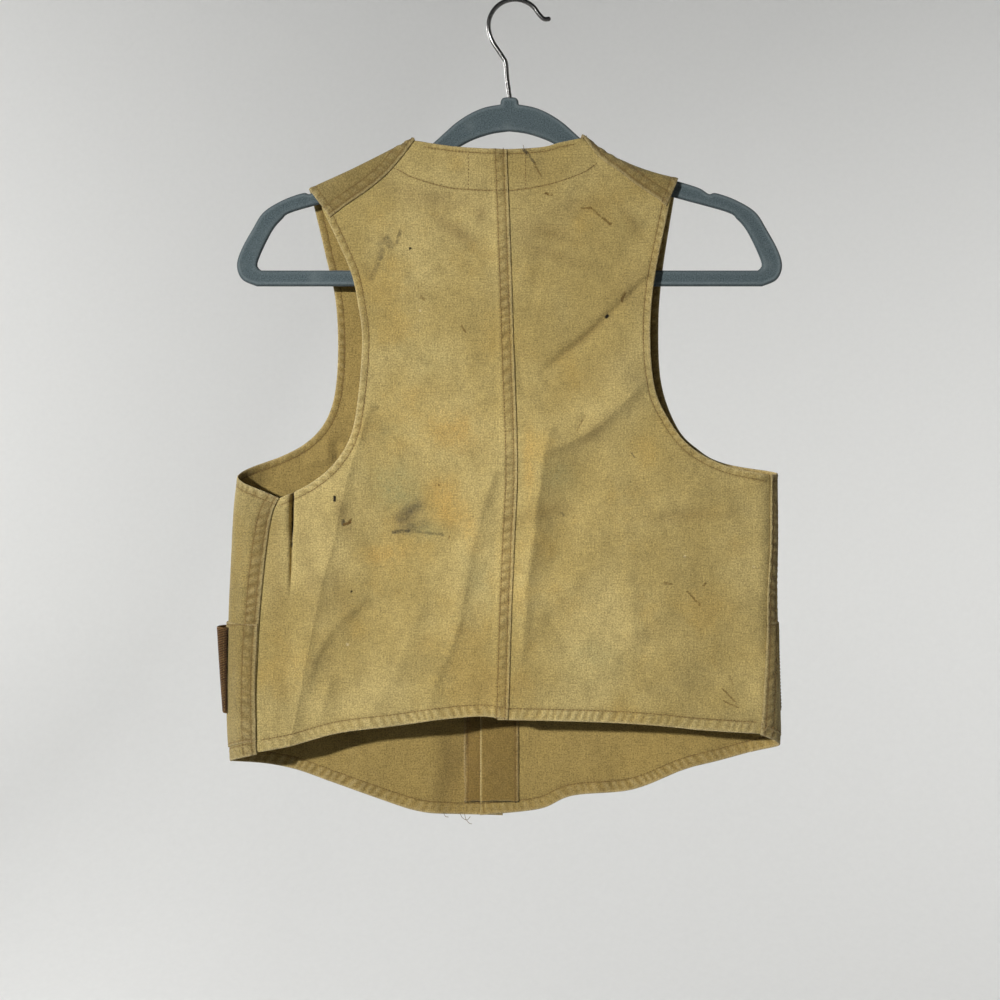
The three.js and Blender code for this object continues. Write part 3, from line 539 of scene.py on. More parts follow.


# %% [markdown]
# ## Painting with sums
# A finish is a sum of masks: grain, fading, dirt, stains and painted shade. Written node by node it is hard to
# read, so one small class wraps a socket and lets masks be added, multiplied and taken from one
# with ordinary signs. Each sign adds a Math node, and one method adds every other kind of node.

# %% A socket that can be reckoned with
class Paint:
    def __init__(self, tree, socket=None):
        self.tree, self.socket = tree, socket

    def node(self, kind, settings=None, inputs=None, out=0):
        made = self.tree.nodes.new(kind)
        for key, value in (settings or {}).items():
            setattr(made, key, value)
        for key, value in (inputs or {}).items():
            if isinstance(value, Paint):
                self.tree.links.new(value.socket, made.inputs[key])
            else:
                made.inputs[key].default_value = value
        return Paint(self.tree, made.outputs[out])

    def math(self, operation, *values, clamped=False):
        settings = {"operation": operation, "use_clamp": clamped}
        return self.node("ShaderNodeMath", settings, dict(enumerate(values)))

    def __add__(self, other):
        return self.math("ADD", self, other)

    def __sub__(self, other):
        return self.math("SUBTRACT", self, other)

    def __rsub__(self, other):
        return self.math("SUBTRACT", other, self)

    def __mul__(self, other):
        return self.math("MULTIPLY", self, other)

    __radd__, __rmul__ = __add__, __mul__

    def held(self):
        return self.math("ADD", self, 0.0, clamped=True)

    def between(self, low, high):
        """0 below low, 1 above high, smooth between; low may be the larger."""
        inputs = {"Value": self, "From Min": low, "From Max": high}
        return self.node("ShaderNodeMapRange", {"interpolation_type": "SMOOTHSTEP"}, inputs)

    def vector(self, operation, *values, out="Vector", **named):
        inputs = {**dict(enumerate(values)), **named}
        return self.node("ShaderNodeVectorMath", {"operation": operation}, inputs, out)

    def tint(self, under, over, how="MIX"):
        """This mask laying one colour over another."""
        settings = {"data_type": "RGBA", "blend_type": how, "clamp_factor": True}
        return self.node("ShaderNodeMix", settings, {0: self, 6: under, 7: over}, out=2)

    def noise(self, at, scale, detail=2.0, rough=0.5):
        inputs = {"Vector": at, "Scale": scale, "Detail": detail, "Roughness": rough}
        return self.node("ShaderNodeTexNoise", None, inputs, "Fac")

    def ridges(self, at, scale, detail, rough, distortion):
        """Noise with sharp crests, like creased cloth."""
        settings = {"noise_type": "RIDGED_MULTIFRACTAL", "normalize": True}
        inputs = {"Vector": at, "Scale": scale, "Detail": detail, "Roughness": rough, "Distortion": distortion}
        return self.node("ShaderNodeTexNoise", settings, inputs, "Fac")

    def place(self):
        return self.node("ShaderNodeTexCoord", out="Object")

    def flat_map(self):
        return self.node("ShaderNodeUVMap", {"uv_map": "flat"})

    def parts(self):
        """The x and y of a place, each as a socket of its own."""
        first = self.node("ShaderNodeSeparateXYZ", None, {0: self}, "X")
        return first, Paint(self.tree, first.socket.node.outputs["Y"])

    def stored(self, name):
        return self.node("ShaderNodeAttribute", {"attribute_name": name}, None, "Fac")

    def bump(self, height, distance, strength=1.0):
        return self.node("ShaderNodeBump", None, {"Height": height, "Distance": distance, "Strength": strength})


# %% Colours and new finishes
def colour(red, green, blue):
    """A colour as the eye reads it, 0 to 255, in the numbers that light adds up in."""
    linear = [((c / 255 + 0.055) / 1.055) ** 2.4 if c > 10 else c / 255 / 12.92 for c in (red, green, blue)]
    return (*linear, 1.0)


def new_finish(name):
    material = bpy.data.materials.new(name)
    material.use_nodes = True
    surface = material.node_tree.nodes["Principled BSDF"]
    return material, surface, Paint(material.node_tree)


def finish_with(surface, paint, base, rough, normal):
    for key, value in (("Base Color", base), ("Roughness", rough), ("Normal", normal)):
        paint.tree.links.new(value.socket, surface.inputs[key])


# %% [markdown]
# ## Faded canvas
# The canvas is a plain weave of khaki cotton, bleached unevenly by sun and washing. Its weave is
# far finer than the camera sees, so it is a small bump on the flat map, under a coarser grain that
# does show. Wear and dirt along the sewing, and the stains, come with the cloth as stored masks;
# some of these masks are painted shade and highlight, and the fronts and facings take a darker
# tone that is painted shade. A picture of cloth would bring its own light and folds, so the finish
# is worked out from noise.

# %% Canvas colours, relief and marks
THREAD_PITCH = 0.0011
KHAKI = {
    "base": colour(168, 147, 89),
    "faded": colour(187, 167, 109),
    "ochre": colour(176, 147, 80),
    "drab": colour(146, 130, 80),
    # worn is laid by the wear mask, which also holds painted highlight on the rungs' crests
    "worn": colour(212, 194, 150),
    # dirt is laid by a mask that also holds painted shade along creases, in rung troughs and under the other front
    "dirt": colour(99, 72, 32),
    "rust": colour(188, 150, 76),
    "moss": colour(134, 134, 92),
    # soot also lays the painted shadow of the deep crease by the left armhole
    "soot": colour(66, 59, 46),
    # hole is painted shade: the dark inside seen through a hole, painted on cloth that has none
    "hole": colour(26, 20, 12),
    "inside": colour(160, 136, 77),
}
# How much of the cloth each kind of stain, wear and painted shade hides
COVER = {"moss": 0.62, "rust": 0.62, "soot": 0.8, "inside": 0.85, "dirt": 0.66, "worn": 0.62}
# Ragged edges: how far they eat into the dirt and shade mask and the wear and highlight mask, and how much of them
# shows on clean cloth
RAGGED = {"dirt": (0.5, 0.06), "worn": (0.4, 0.08)}
MARK_WANDERS, MARK_SHIFT, MARK_CORE = 0.0024, 1.2, 0.35
POINT_MARK = 1e-5


def woven_height(paint, flat):
    """Threads over and under each other, along and across the flat cloth."""
    turn = 2 * math.pi / THREAD_PITCH
    across, up = flat.parts()
    return paint.math("SINE", across * turn) * paint.math("SINE", up * turn)


def line_mark(paint, spot, start, end, width):
    """A mask along a short straight line on the back, from start to end."""
    a = Vector((start[0], 0, start[1])) * MM
    d = Vector((end[0], 0, end[1])) * MM - a
    d = d if d.length > POINT_MARK else Vector((POINT_MARK, 0, 0))
    off = paint.vector("SUBTRACT", spot, a)
    reach = paint.vector("DOT_PRODUCT", off, d / d.length_squared, out="Value").held()
    gap = paint.vector("DISTANCE", off, paint.vector("SCALE", d, Scale=reach), out="Value")
    return gap.between(width * MM, width * MM * MARK_CORE)


def stains_over(paint, base, ragged, tone, inside):
    """Stored stains, a darker tone that is painted shade, the less faded inner face, dirt and wear with the painted
    shade and highlight in them, all with ragged edges.
    """
    for kind in ("moss", "rust", "soot"):
        mask = paint.stored(kind)
        base = ((mask + ragged * mask).between(0.1, 0.9) * COVER[kind]).tint(base, KHAKI[kind])
    # The tone darkens the whole canvas: painted shade for pieces that hang in shadow
    base = paint.vector("SCALE", base, Scale=tone)
    base = (paint.stored("inside") * COVER["inside"]).tint(base, inside)
    for kind, name in (("dirt", "dirt"), ("worn", "wear")):
        mask, (eaten, loose) = paint.stored(name), RAGGED[kind]
        base = ((mask + ragged * (mask * eaten + loose)).held() * COVER[kind]).tint(base, KHAKI[kind])
    return base


def marks_over(paint, base, at, broken, marks):
    """Small marks on the back, whose lines wander a little and break up; some are painted shade in creases, and the
    holes are painted dark.
    """
    jitter = paint.node("ShaderNodeTexNoise", None, {"Vector": at, "Scale": 330.0, "Detail": 3.0}, "Color")
    spot = paint.vector("ADD", at, paint.vector("SCALE", jitter, Scale=MARK_WANDERS))
    spot = paint.vector("MULTIPLY", spot, (1.0, 0.0, 1.0))
    for start, end, width, kind, strength in marks:
        shifted = [(x + MARK_SHIFT, z + MARK_SHIFT) for x, z in (start, end)]
        mark = line_mark(paint, spot, *shifted, width)
        # A hole is painted shade and is laid whole; the other marks break up
        mark = mark if kind == "hole" else mark * broken
        base = (mark * strength).tint(base, KHAKI[kind])
    return base


# %% Canvas finish
# Layers of noise: scale, detail, roughness, and distortion for the creased ones
CLOUD, BLOTCH, PATCH, SPECK, RUMPLE = (9, 4, 0.6), (15, 5, 0.65), (34, 6, 0.68), (190, 4, 0.75), (40, 1.5, 0.45)
CRUMPLE, CRINKLE = (11.0, 2.5, 0.45, 0.5), (42.0, 1.5, 0.4, 0.3)
GRAIN, SLUBS = (760, 2, 0.7), (900, 1, 0.5)
SLUB_WAYS = ((1.0, 0.1, 1.0), (0.1, 1.0, 1.0))
# Heights of the relief, in metres
RELIEF = {"weave": 0.00005, "grain": 0.0005, "speck": 0.0002, "rumple": 0.0035, "crumple": 0.007, "crinkle": 0.0014}
DARK_GRAIN, LIGHT_GRAIN = 0.55, 1.4


def canvas(name, marks=(), tone=1.0, inside=KHAKI["inside"]):
    material, surface, paint = new_finish(name)
    flat, at = paint.flat_map(), paint.place()
    cloud, blotch, patch, speck, rumple = (paint.noise(at, *layer) for layer in (CLOUD, BLOTCH, PATCH, SPECK, RUMPLE))
    crumple, crinkle = paint.ridges(at, *CRUMPLE), paint.ridges(at, *CRINKLE)
    grain = paint.noise(flat, *GRAIN)
    warp, weft = (paint.noise(paint.vector("MULTIPLY", flat, way), *SLUBS) for way in SLUB_WAYS)
    base = cloud.between(0.36, 0.66).tint(KHAKI["base"], KHAKI["faded"])
    base = (patch.between(0.46, 0.68) * 0.32).tint(base, KHAKI["drab"])
    base = (blotch.between(0.5, 0.68) * 0.45).tint(base, KHAKI["ochre"])
    base = stains_over(paint, base, (patch - 0.5) * 2.6 + (speck - 0.5) * 1.5, tone, inside)
    base = marks_over(paint, base, at, speck.between(0.3, 0.56), marks)
    shade = (grain * 0.6 + (warp + weft) * 0.12 + speck * 0.16).between(0.3, 0.7)
    dark, light = (paint.vector("SCALE", base, Scale=share) for share in (DARK_GRAIN, LIGHT_GRAIN))
    height = woven_height(paint, flat) * RELIEF["weave"] + grain * RELIEF["grain"] + speck * RELIEF["speck"]
    height = height + rumple * RELIEF["rumple"] + crumple * RELIEF["crumple"]
    height = height + crinkle * cloud.between(0.45, 0.6) * RELIEF["crinkle"]
    finish_with(surface, paint, shade.tint(dark, light), 0.86 + grain * 0.12, paint.bump(height, 1.0))
    surface.inputs["Specular IOR Level"].default_value = 0.2
    surface.inputs["Sheen Weight"].default_value = 0.08
    surface.inputs["Sheen Roughness"].default_value = 0.6
    return material


# %% [markdown]
# ## Hems and felled seams
# A hem is cloth turned in and stitched, so its band is thicker, and years of washing have drawn it
# into little rungs between the stitching and the edge. A felled seam is the same with two rows.
# One function gives any edge its rise, its grooves and rungs, its wear and dirt, and a painted highlight on each rung's
# crest with painted shade in each trough.
# Modelling every turned-in layer would double the cloth for a rise of less than half a millimetre.

# %% Edge finisher
# Each kind of edge: rows of stitching in from the edge, rise, rungs' height and spacing, wear and painted highlight
EDGES = {
    "hem": {"rows": (9.5,), "rise": 0.3, "rungs": 0.42, "pitch": 7.2, "wear": 0.6},
    "armhole": {"rows": (5.6,), "rise": 0.2, "rungs": 0.14, "pitch": 7.5, "wear": 0.45},
    "neck": {"rows": (4.0,), "rise": 0.25, "rungs": 0.15, "pitch": 9, "wear": 0.3},
    "seam": {"rows": (3.1, 9.6), "rise": 0.2, "rungs": 0.55, "pitch": 8.2, "wear": 0.3},
    "front": {"rows": (3.0,), "rise": 0.2, "rungs": 0.12, "pitch": 8, "wear": 0.35},
    "row": {"rows": (0.0,), "rise": 0.3, "rungs": 0.0, "pitch": 9, "wear": 0.0},
    "pocket": {"rows": (2.0,), "rise": 0.1, "rungs": 0.12, "pitch": 8, "wear": 0.3},
}
GROOVE = {"depth": 0.42, "width": 0.75}
EDGE_REACH, FAR_OFF = 20, 99.0
# The rungs' wander along an edge: size, length, and start as a share of the points in the edge's line
RUNG_WANDER = [(0.32, 29, 0), (0.2, 11.3, 1), (0.16, 4.7, 0)]
RUNG_SLANT, RUNG_SWELL = 0.05, 31
LIP = {"at": 0.9, "width": 0.9, "rise": 0.12}


def edge_rows(kind):
    """Distances from an edge at which the pattern needs points."""
    rows = EDGES[kind]["rows"]
    beside = [row + step for row in rows for step in (-0.8, 0, 0.8)]
    between = [by for by in np.arange(3, rows[-1] + 2.5, 1.5) if min(abs(by - row) for row in beside) > 0.6]
    return (*EDGE_ROWS, *beside, *between)


def edge_finish(kind, line, x, z):
    """Height, wear and dirt that an edge's sewing gives each point, with a painted highlight on the rungs' crests and
    painted shade in their troughs.
    """
    edge = EDGES[kind]
    near = np.ones(len(x), bool)
    for at, middle, span in zip((x, z), line.mean(0), np.ptp(line, axis=0)):
        near &= np.abs(at - middle) < span + EDGE_REACH
    along, gap = np.zeros(len(x)), np.full(len(x), FAR_OFF)
    if near.any():
        along[near], gap[near], _ = from_line(line, x[near], z[near])
    band = 1 - ease(gap, edge["rows"][-1] - 0.3, edge["rows"][-1] + 1.6)
    groove = sum(np.exp(-(((gap - row) / GROOVE["width"]) ** 2)) for row in edge["rows"])
    beat = along / edge["pitch"]
    for size, length, start in RUNG_WANDER:
        beat = beat + size * np.sin(along / length + start * len(line))
    strength = 0.75 + 0.25 * np.sin(along / RUNG_SWELL + len(kind))
    ripple = np.sin(2 * math.pi * (beat + RUNG_SLANT * gap)) * strength
    body = band * ease(gap, 0.6, 2.2) * (1 - np.clip(groove, 0, 1))
    felled = len(edge["rows"]) > 1
    lip = np.exp(-(((gap - LIP["at"]) / LIP["width"]) ** 2)) * felled
    rise = edge["rise"] * band + edge["rungs"] * ripple * body + LIP["rise"] * lip - GROOVE["depth"] * groove
    # Rungs' crests are painted lighter and their troughs darker: painted highlight and shade over the relief, besides
    # the worn edge and the grime in the grooves
    worn = np.exp(-((gap / 1.5) ** 2)) + 0.5 * body * np.clip(ripple, 0, 1) + 0.2 * lip
    grime_and_shade = 0.75 * np.clip(groove, 0, 1) + 0.62 * body * np.clip(-ripple, 0, 1) + 0.25 * body * felled
    return rise, edge["wear"] * worn, grime_and_shade


# %% A whole cloth's finish
UNDER_RISE = 0.3


def edges_finish(edges, free=None, both_faces=True):
    """A cloth's finish from its edges, each a kind and a line, where it is free of other cloth."""

    def finish(x, z):
        made = plain_finish(x, z)
        room = np.ones(len(x)) if free is None else free(x, z)
        rise = np.zeros(len(x))
        for kind, line in edges:
            height, wear, dirt = edge_finish(kind, line, x, z)
            rise = np.where(np.abs(height) > np.abs(rise), height, rise)
            made["wear"] = np.maximum(made["wear"], wear * room)
            made["dirt"] = np.maximum(made["dirt"], dirt * room)
        made["top"] = made["top"] + rise * room
        made["under"] = made["under"] + np.clip(rise, -UNDER_RISE, UNDER_RISE) * room * both_faces
        return made

    return finish


# %% [markdown]
# ## Stains, marks and painted shade
# The back carries years of use: rust-coloured and mossy patches left of the middle, a sooty smudge,
# streaks by the left armhole, a few holes and scratches. The holes are painted near black, as shade
# of the inside seen through them, and some dirt patches and marks along the folds and creases are
# painted shade. Soft patches are stored on the cloth. Small sharp ones are drawn in the finish
# itself, where they can be finer than the mesh.

# %% Soft patches
# Soft patches: kind, middle x and z, half width, half height, turn in degrees, strength
PATCHES = [
    ("rust", -56, -412, 20, 32, 20, 0.6),
    ("rust", -106, -452, 30, 11, 5, 0.5),
    ("rust", -47, -352, 34, 24, 0, 0.5),
    ("rust", -36, -436, 12, 26, 15, 0.45),
    ("rust", -84, -330, 40, 22, 10, 0.35),
    ("rust", 11, -385, 6, 45, 0, 0.5),
    ("rust", -60, -520, 30, 14, 20, 0.35),
    ("rust", 175, -445, 18, 14, 0, 0.35),
    ("rust", -120, -360, 14, 20, 0, 0.3),
    ("moss", -98, -398, 36, 22, -25, 0.6),
    ("moss", -66, -432, 30, 10, 0, 0.5),
    ("moss", -92, -352, 30, 12, 10, 0.35),
    ("moss", 36, -392, 18, 22, 30, 0.4),
    ("moss", -70, -290, 30, 22, 0, 0.35),
    ("moss", 60, -540, 40, 26, 0, 0.35),
    ("moss", -30, -470, 16, 40, 15, 0.35),
    ("moss", 90, -190, 30, 20, 0, 0.3),
    ("soot", -86, -420, 18, 9, 40, 0.62),
    ("soot", -84, -430, 20, 6, 12, 0.5),
    ("dirt", -70, -163, 32, 9, -14, 0.42),
    ("dirt", -50, -189, 24, 6, -37, 0.55),
    ("dirt", -28, -174, 4, 9, 0, 0.4),
    ("dirt", 28, -208, 28, 5, -18, 0.35),
    ("dirt", 30, -192, 9, 4, -25, 0.5),
    ("dirt", 94, -182, 15, 5, -50, 0.4),
    # Painted shade along the creases and the ridge right of the middle: this line and the next two
    ("dirt", 62, -271, 34, 3, 42, 0.6),
    ("dirt", 92, -242, 15, 4, 42, 0.45),
    ("dirt", 66, -352, 20, 6, 42, 0.35),
    # Painted shade along the left ridge's darker side
    ("dirt", -139, -420, 5, 22, 13, 0.35),
    ("dirt", 24, -190, 34, 9, -12, 0.34),
    ("dirt", 50, -170, 30, 9, 12, 0.3),
    ("dirt", 96, -236, 14, 22, -40, 0.3),
    # Painted shade along two creases across the back: this line and the next
    ("dirt", 22, -418, 22, 6, 10, 0.35),
    ("dirt", 140, -421, 32, 5, 4, 0.4),
    ("dirt", 80, -300, 40, 14, 30, 0.2),
    ("dirt", -16, -560, 24, 16, 0, 0.3),
    ("dirt", -122, -258, 4, 16, 0, 0.45),
    ("dirt", -122, -304, 3, 12, 0, 0.4),
    ("dirt", 0, -142, 60, 14, 0, 0.18),
    # Painted shade over the strip between the left crease and the left ridge, and on either side of it: these three
    # lines
    ("dirt", -145, -470, 8, 60, 13, 0.25),
    ("dirt", -163, -470, 13, 90, 9, 0.2),
    ("dirt", -192, -470, 9, 80, 4, 0.24),
]

# %% Small marks
# Each mark on the back: from, to, width, kind, strength
BACK_MARKS = [
    # Painted shadow of the deep crease by the left armhole
    ((-179, -396), (-180.4, -446), 1.4, "soot", 0.8),
    # Holes, painted near black as shade of the inside seen through them
    ((-145, -406.5), (-145, -408.6), 1.9, "hole", 1.0),
    ((-132.1, -482.6), (-132.1, -482.6), 1.6, "hole", 0.95),
    ((-85.3, -204.5), (-85.3, -204.5), 1.5, "hole", 0.95),
    ((74, -260.2), (75, -259), 1.8, "hole", 1.0),
    ((-138.5, -428), (-138.3, -425), 1.8, "soot", 0.8),
    ((-137.5, -428), (-133, -426.8), 1.8, "dirt", 0.9),
    ((-133, -426.8), (-132.2, -424), 1.4, "dirt", 0.8),
    ((86.5, -247), (89, -240), 1.5, "dirt", 0.8),
    ((-76, -244), (-74, -246), 1.8, "dirt", 0.5),
    ((-43, -268), (-40.5, -272.5), 1.2, "dirt", 0.7),
    # Painted shade in a small crease
    ((56, -341), (49.4, -352.6), 1.0, "dirt", 0.6),
    ((25.3, -159.2), (29.5, -160.6), 1.5, "dirt", 0.9),
    ((37.5, -419), (39, -421), 1.2, "soot", 0.7),
    ((93.5, -371), (96, -374), 1.1, "soot", 0.6),
    ((-61.4, -396.5), (-61.4, -396.5), 1.2, "dirt", 0.8),
    ((-53.3, -439.2), (-53.3, -438), 1.2, "dirt", 0.7),
    ((-98.4, -434.5), (-86, -433.2), 2.2, "soot", 0.8),
    ((-82, -433.5), (-58, -436.4), 1.7, "soot", 0.5),
    ((-93.4, -189.5), (-95.9, -199.3), 2.0, "soot", 0.55),
    ((-109.7, -200.1), (-104.8, -196), 3.4, "soot", 0.3),
    ((-104.8, -196), (-100.7, -202.5), 4.6, "soot", 0.34),
    ((-108, -205.8), (-109.7, -212.2), 3.2, "soot", 0.4),
    ((-109.7, -212.2), (-116.2, -229.3), 3.2, "soot", 0.38),
    ((-121, -219.5), (-118.6, -227.7), 4.4, "soot", 0.24),
    ((54.3, -171.6), (62.2, -171.2), 1.3, "dirt", 0.7),
    ((62.2, -171.2), (68.6, -178), 1.2, "dirt", 0.6),
    ((70.6, -179.2), (77.6, -184.4), 1.4, "dirt", 0.8),
    ((119.6, -475.4), (126, -476.2), 1.3, "dirt", 0.6),
    ((138.9, -482.6), (148.6, -493.1), 1.3, "dirt", 0.65),
    ((151.8, -477.8), (153.8, -475.8), 1.3, "dirt", 0.7),
    ((167, -560.6), (177, -571), 1.0, "dirt", 0.6),
    ((168, -570.5), (179.9, -576), 1.0, "dirt", 0.6),
    ((172.7, -550.2), (176, -558), 1.0, "dirt", 0.4),
    ((7, -123), (11, -127.5), 1.9, "soot", 0.95),
    ((11, -127.5), (15.5, -134), 1.2, "soot", 0.7),
    ((15.5, -134), (21, -145), 0.9, "dirt", 0.6),
    ((-135.4, -525.2), (-135.4, -525.2), 1.8, "worn", 0.9),
    ((136.5, -454.4), (136.5, -454.4), 1.6, "worn", 0.8),
    ((192.8, -462.5), (192.8, -462.5), 1.5, "worn", 0.7),
    ((-77.2, -255.6), (-77.2, -255.6), 1.5, "worn", 0.6),
]


# %% Canvas for each kind of piece
def back_stains_and_shade(x, z):
    """The soft patches of every kind on the back, painted shade along its folds among them."""
    masks = {kind: np.zeros(len(x)) for kind in ("rust", "moss", "soot", "dirt")}
    for kind, x0, z0, wide, high, degrees, strength in PATCHES:
        turn = math.radians(degrees)
        along = (x - x0) * math.cos(turn) + (z - z0) * math.sin(turn)
        across = (z - z0) * math.cos(turn) - (x - x0) * math.sin(turn)
        patch = strength * np.exp(-((along / wide) ** 2 + (across / high) ** 2))
        masks[kind] = np.maximum(masks[kind], patch)
    return masks


back_canvas = canvas("back_canvas", BACK_MARKS)
# The fronts, their pockets and the facings are darker copies of the same canvas: painted shade
front_canvas = canvas("front_canvas", tone=0.72)
facing_canvas = canvas("facing_canvas", tone=0.78, inside=colour(132, 107, 52))
print("canvas finishes with", len(PATCHES), "patches and", len(BACK_MARKS), "marks")

# %% [markdown]
# ## Back panels
# Two panels meet in a felled seam down the middle, the left one lapping over the right. At the sides
# and the shoulders both run on under the fronts' laps. Their outlines were measured from the
# photograph, as seen square on, so no flattening is needed before cutting.

# %% Back outlines
CENTRE_SEAM = [
    (-5.4, -585.7), (-3, -508.7), (-0.3, -443), (2, -377), (-0.8, -291.5), (-2.9, -221), (-5.3, -158), (-6.6, -123),
]
BACK = {
    "left": {
        "hem": [
            (-207.6, -613.5), (-180, -607), (-142, -596.9), (-97.7, -591), (-56.6, -585.2), (-26.8, -583),
            (-5.4, -585.7),
        ],
        "side": [(-207.6, -613.5), (-208.3, -558.7), (-205.9, -509), (-201.9, -462.6), (-196, -422), (-189.7, -407)],
        "armhole": [
            (-189.7, -407), (-165.4, -395.7), (-145.2, -378.8), (-132.4, -356.2), (-126.9, -324.7), (-123.9, -280),
            (-127.4, -249.8), (-134.9, -219.5), (-151.4, -179.2),
        ],
        "shoulder": [(-151.4, -179.2), (-133.6, -166.9), (-115.7, -153.7), (-100.3, -139.7), (-81.4, -115.4)],
        "neck": [(-81.4, -115.4), (-63.7, -118.5), (-42.5, -121), (-6.6, -123)],
    },
    "right": {
        "hem": [(197.5, -598), (152.6, -594.5), (119.8, -591.1), (86.8, -588.6), (37.6, -586.8), (-5.4, -585.7)],
        "side": [(197.5, -598), (200.5, -550.2), (203, -486), (206, -420), (206.5, -388.4)],
        "armhole": [
            (206.5, -388.4), (169.3, -380.4), (141, -365), (123.3, -342.4), (112.5, -316.5), (109.4, -271.5),
            (113.9, -224.8), (123.6, -170.2),
        ],
        "shoulder": [(123.6, -170.2), (109, -160.3), (94.4, -150.1), (77.8, -137.2), (55.5, -113.1)],
        "neck": [(55.5, -113.1), (36.7, -117), (20.3, -121), (-6.6, -123)],
    },
}
LAYER = 1.0
LAP, LAP_RAMP = 10, 5
TUCK, TUCK_GROWS_OVER = 9, 60
SEAM_EASE, SIDE_EASE = 0.15, 0.25
SHOULDER_TUCK = 0.35
SEAM_ENDS = (-620, -105)


def seam_x(z):
    return read_table(by_height(CENTRE_SEAM), np.clip(z, *SEAM_ENDS))


def back_runs(side):
    """A back panel's outline, out to the edges that lie under the fronts."""
    rows = BACK[side]
    x, z = np.array(rows["side"], float).T
    tuck = TUCK * ease(z[-1] - z, -5, TUCK_GROWS_OVER)
    under = front_place(side, flat_x(side, x, z) - SIGN[side] * tuck, z)[:, [0, 2]]
    share = np.array([SHOULDER_TUCK] * (len(rows["shoulder"]) - 1) + [0])[:, None]
    shoulder = np.array(rows["shoulder"]) * (1 - share) + np.array(SHOULDER_TOP[side]) * share
    middle = np.array(CENTRE_SEAM) - (0 if side == "left" else TUCK, 0)
    return {
        "hem": [under[0], *rows["hem"][1:-1], middle[0]],
        "middle": middle,
        "neck": [middle[-1], *rows["neck"][-2::-1]],
        "shoulder": shoulder[::-1],
        "armhole": [shoulder[0], *rows["armhole"][-2:0:-1], under[-1]],
        "under": under[::-1],
    }


# %% Sew the back
NECK_STITCH = [
    (-101, -137.6), (-93.6, -140.6), (-83.8, -146), (-59.5, -153.3), (-41.6, -155.9), (-7.5, -157), (18.5, -153.8),
    (37, -149), (55.8, -141.9), (66, -134.8),
]
ROW_STEP = 2
# Rows of points beside the neck's stitching, and beside the two sharpest creases
BESIDE_STITCH = (-2.4, -1.6, -0.8, 0, 0.8, 1.6, 2.4)
BESIDE_CREASE = (-3.4, -2.2, -1.4, -0.7, 0, 0.7, 1.4, 2.2, 3.4)
SHARP_FOLDS = FOLDS[1:3]
SIDE_BARE, SHOULDER_BARE = (0.5, 7), (7, 12)
neck_stitch = smooth_line(NECK_STITCH, ROW_STEP)
neck_rows = [inset(neck_stitch, by, 1) for by in BESIDE_STITCH]
fold_rows = [inset(smooth_line(fold[0], ROW_STEP), by, 1) for fold in SHARP_FOLDS for by in BESIDE_CREASE]


def middle_lap(x, z):
    return (LAYER + SEAM_EASE) * (1 - ease(seam_x(z) - x, LAP, LAP + LAP_RAMP))


backs = {}
for side in SIDES:
    runs = back_runs(side)
    beside = {"hem": edge_rows("hem"), "armhole": edge_rows("armhole"), "neck": edge_rows("neck")}
    beside["middle"] = edge_rows("seam") if side == "left" else EDGE_ROWS
    beside["under"] = beside["shoulder"] = EDGE_ROWS
    cut = cut_pattern(runs, beside, neck_rows + (fold_rows if side == "left" else []), grid=2.3)
    lines = cut["lines"]
    edges = [(kind, lines[kind]) for kind in ("hem", "armhole", "neck")]
    edges += [("row", neck_stitch)]
    edges += [("seam", lines["middle"])] if side == "left" else []

    def bare(x, z, side=side, shoulder=lines["shoulder"]):
        """1 where nothing is sewn over the back, 0 under the fronts' laps."""
        rows = by_height(BACK[side]["side"])
        seam = read_table(rows, np.clip(z, rows[0][0], rows[-1][0]))
        return ease((seam - x) * SIGN[side], *SIDE_BARE) * ease(from_line(shoulder, x, z)[1], *SHOULDER_BARE)

    backs[side] = {
        "place": back_place,
        "facing": 1,
        "lift": middle_lap if side == "left" else (lambda x, z: 0 * x),
        "finish": edges_finish(edges, bare),
        "bare": bare,
        "stains": back_stains_and_shade,
        "lines": lines,
    }
    panel = sewn(f"back_panel_{side}", backs[side], cut, back_canvas)
    hang(panel, cut, f"back_{side}")

# %% [markdown]
# ## Fronts
# A front is cut flat from its side seam on the back to its front edge, and from its hem up over the
# shoulder to its seam on the back. Rows of points across the top of the shoulder keep that tight
# bend round. The left front lies over the right one down the middle, with its facing between.

# %% Front outlines
FRONT = {
    "left": {
        "wrapped": [(-198.7, -403), (-213, -397.5)],
        "armhole": [
            (-203.4, -376.1), (-171, -358.5), (-153.7, -333.5), (-147.4, -295), (-148.5, -245.8), (-157, -205),
            (-168.9, -154.2),
        ],
        "hem": [
            (-242, -622.6), (-189.5, -631.7), (-153.6, -644.1), (-115, -658), (-84.3, -668), (-58.3, -671.4),
            (-10, -673),
        ],
    },
    "right": {
        "wrapped": [],
        "armhole": [
            (177.2, -378.6), (150.6, -364.3), (134.7, -346), (122.4, -312), (119.4, -268), (122.5, -219),
            (133.7, -145.4),
        ],
        "hem": [
            (228.8, -609.8), (175.7, -625), (141.6, -633.9), (97.3, -651.3), (48, -656.4), (20.3, -667.3),
            (-29, -672.5),
        ],
    },
}
FRONT_EDGE = {"left": -10, "right": -29}
V_POINT_Z, V_CURVE = -271, 5
SIDE_LAP = LAP + 4
SIDE_SEAM_FOOT = -613
SHOULDER_LIFTS_OVER = 2.5
OVERLAP_FROM, OVERLAP_RAMP, OVERLAP_EASE = -52, 18, 0.3
OVERLAP_LIFT = 2 * (LAYER + OVERLAP_EASE)
CREST_ROWS = (-7, -5, -3.4, -2.2, -1.3, -0.6, -0.2, 0, 0.2, 0.6, 1.3, 2.2, 3.4, 5, 7)


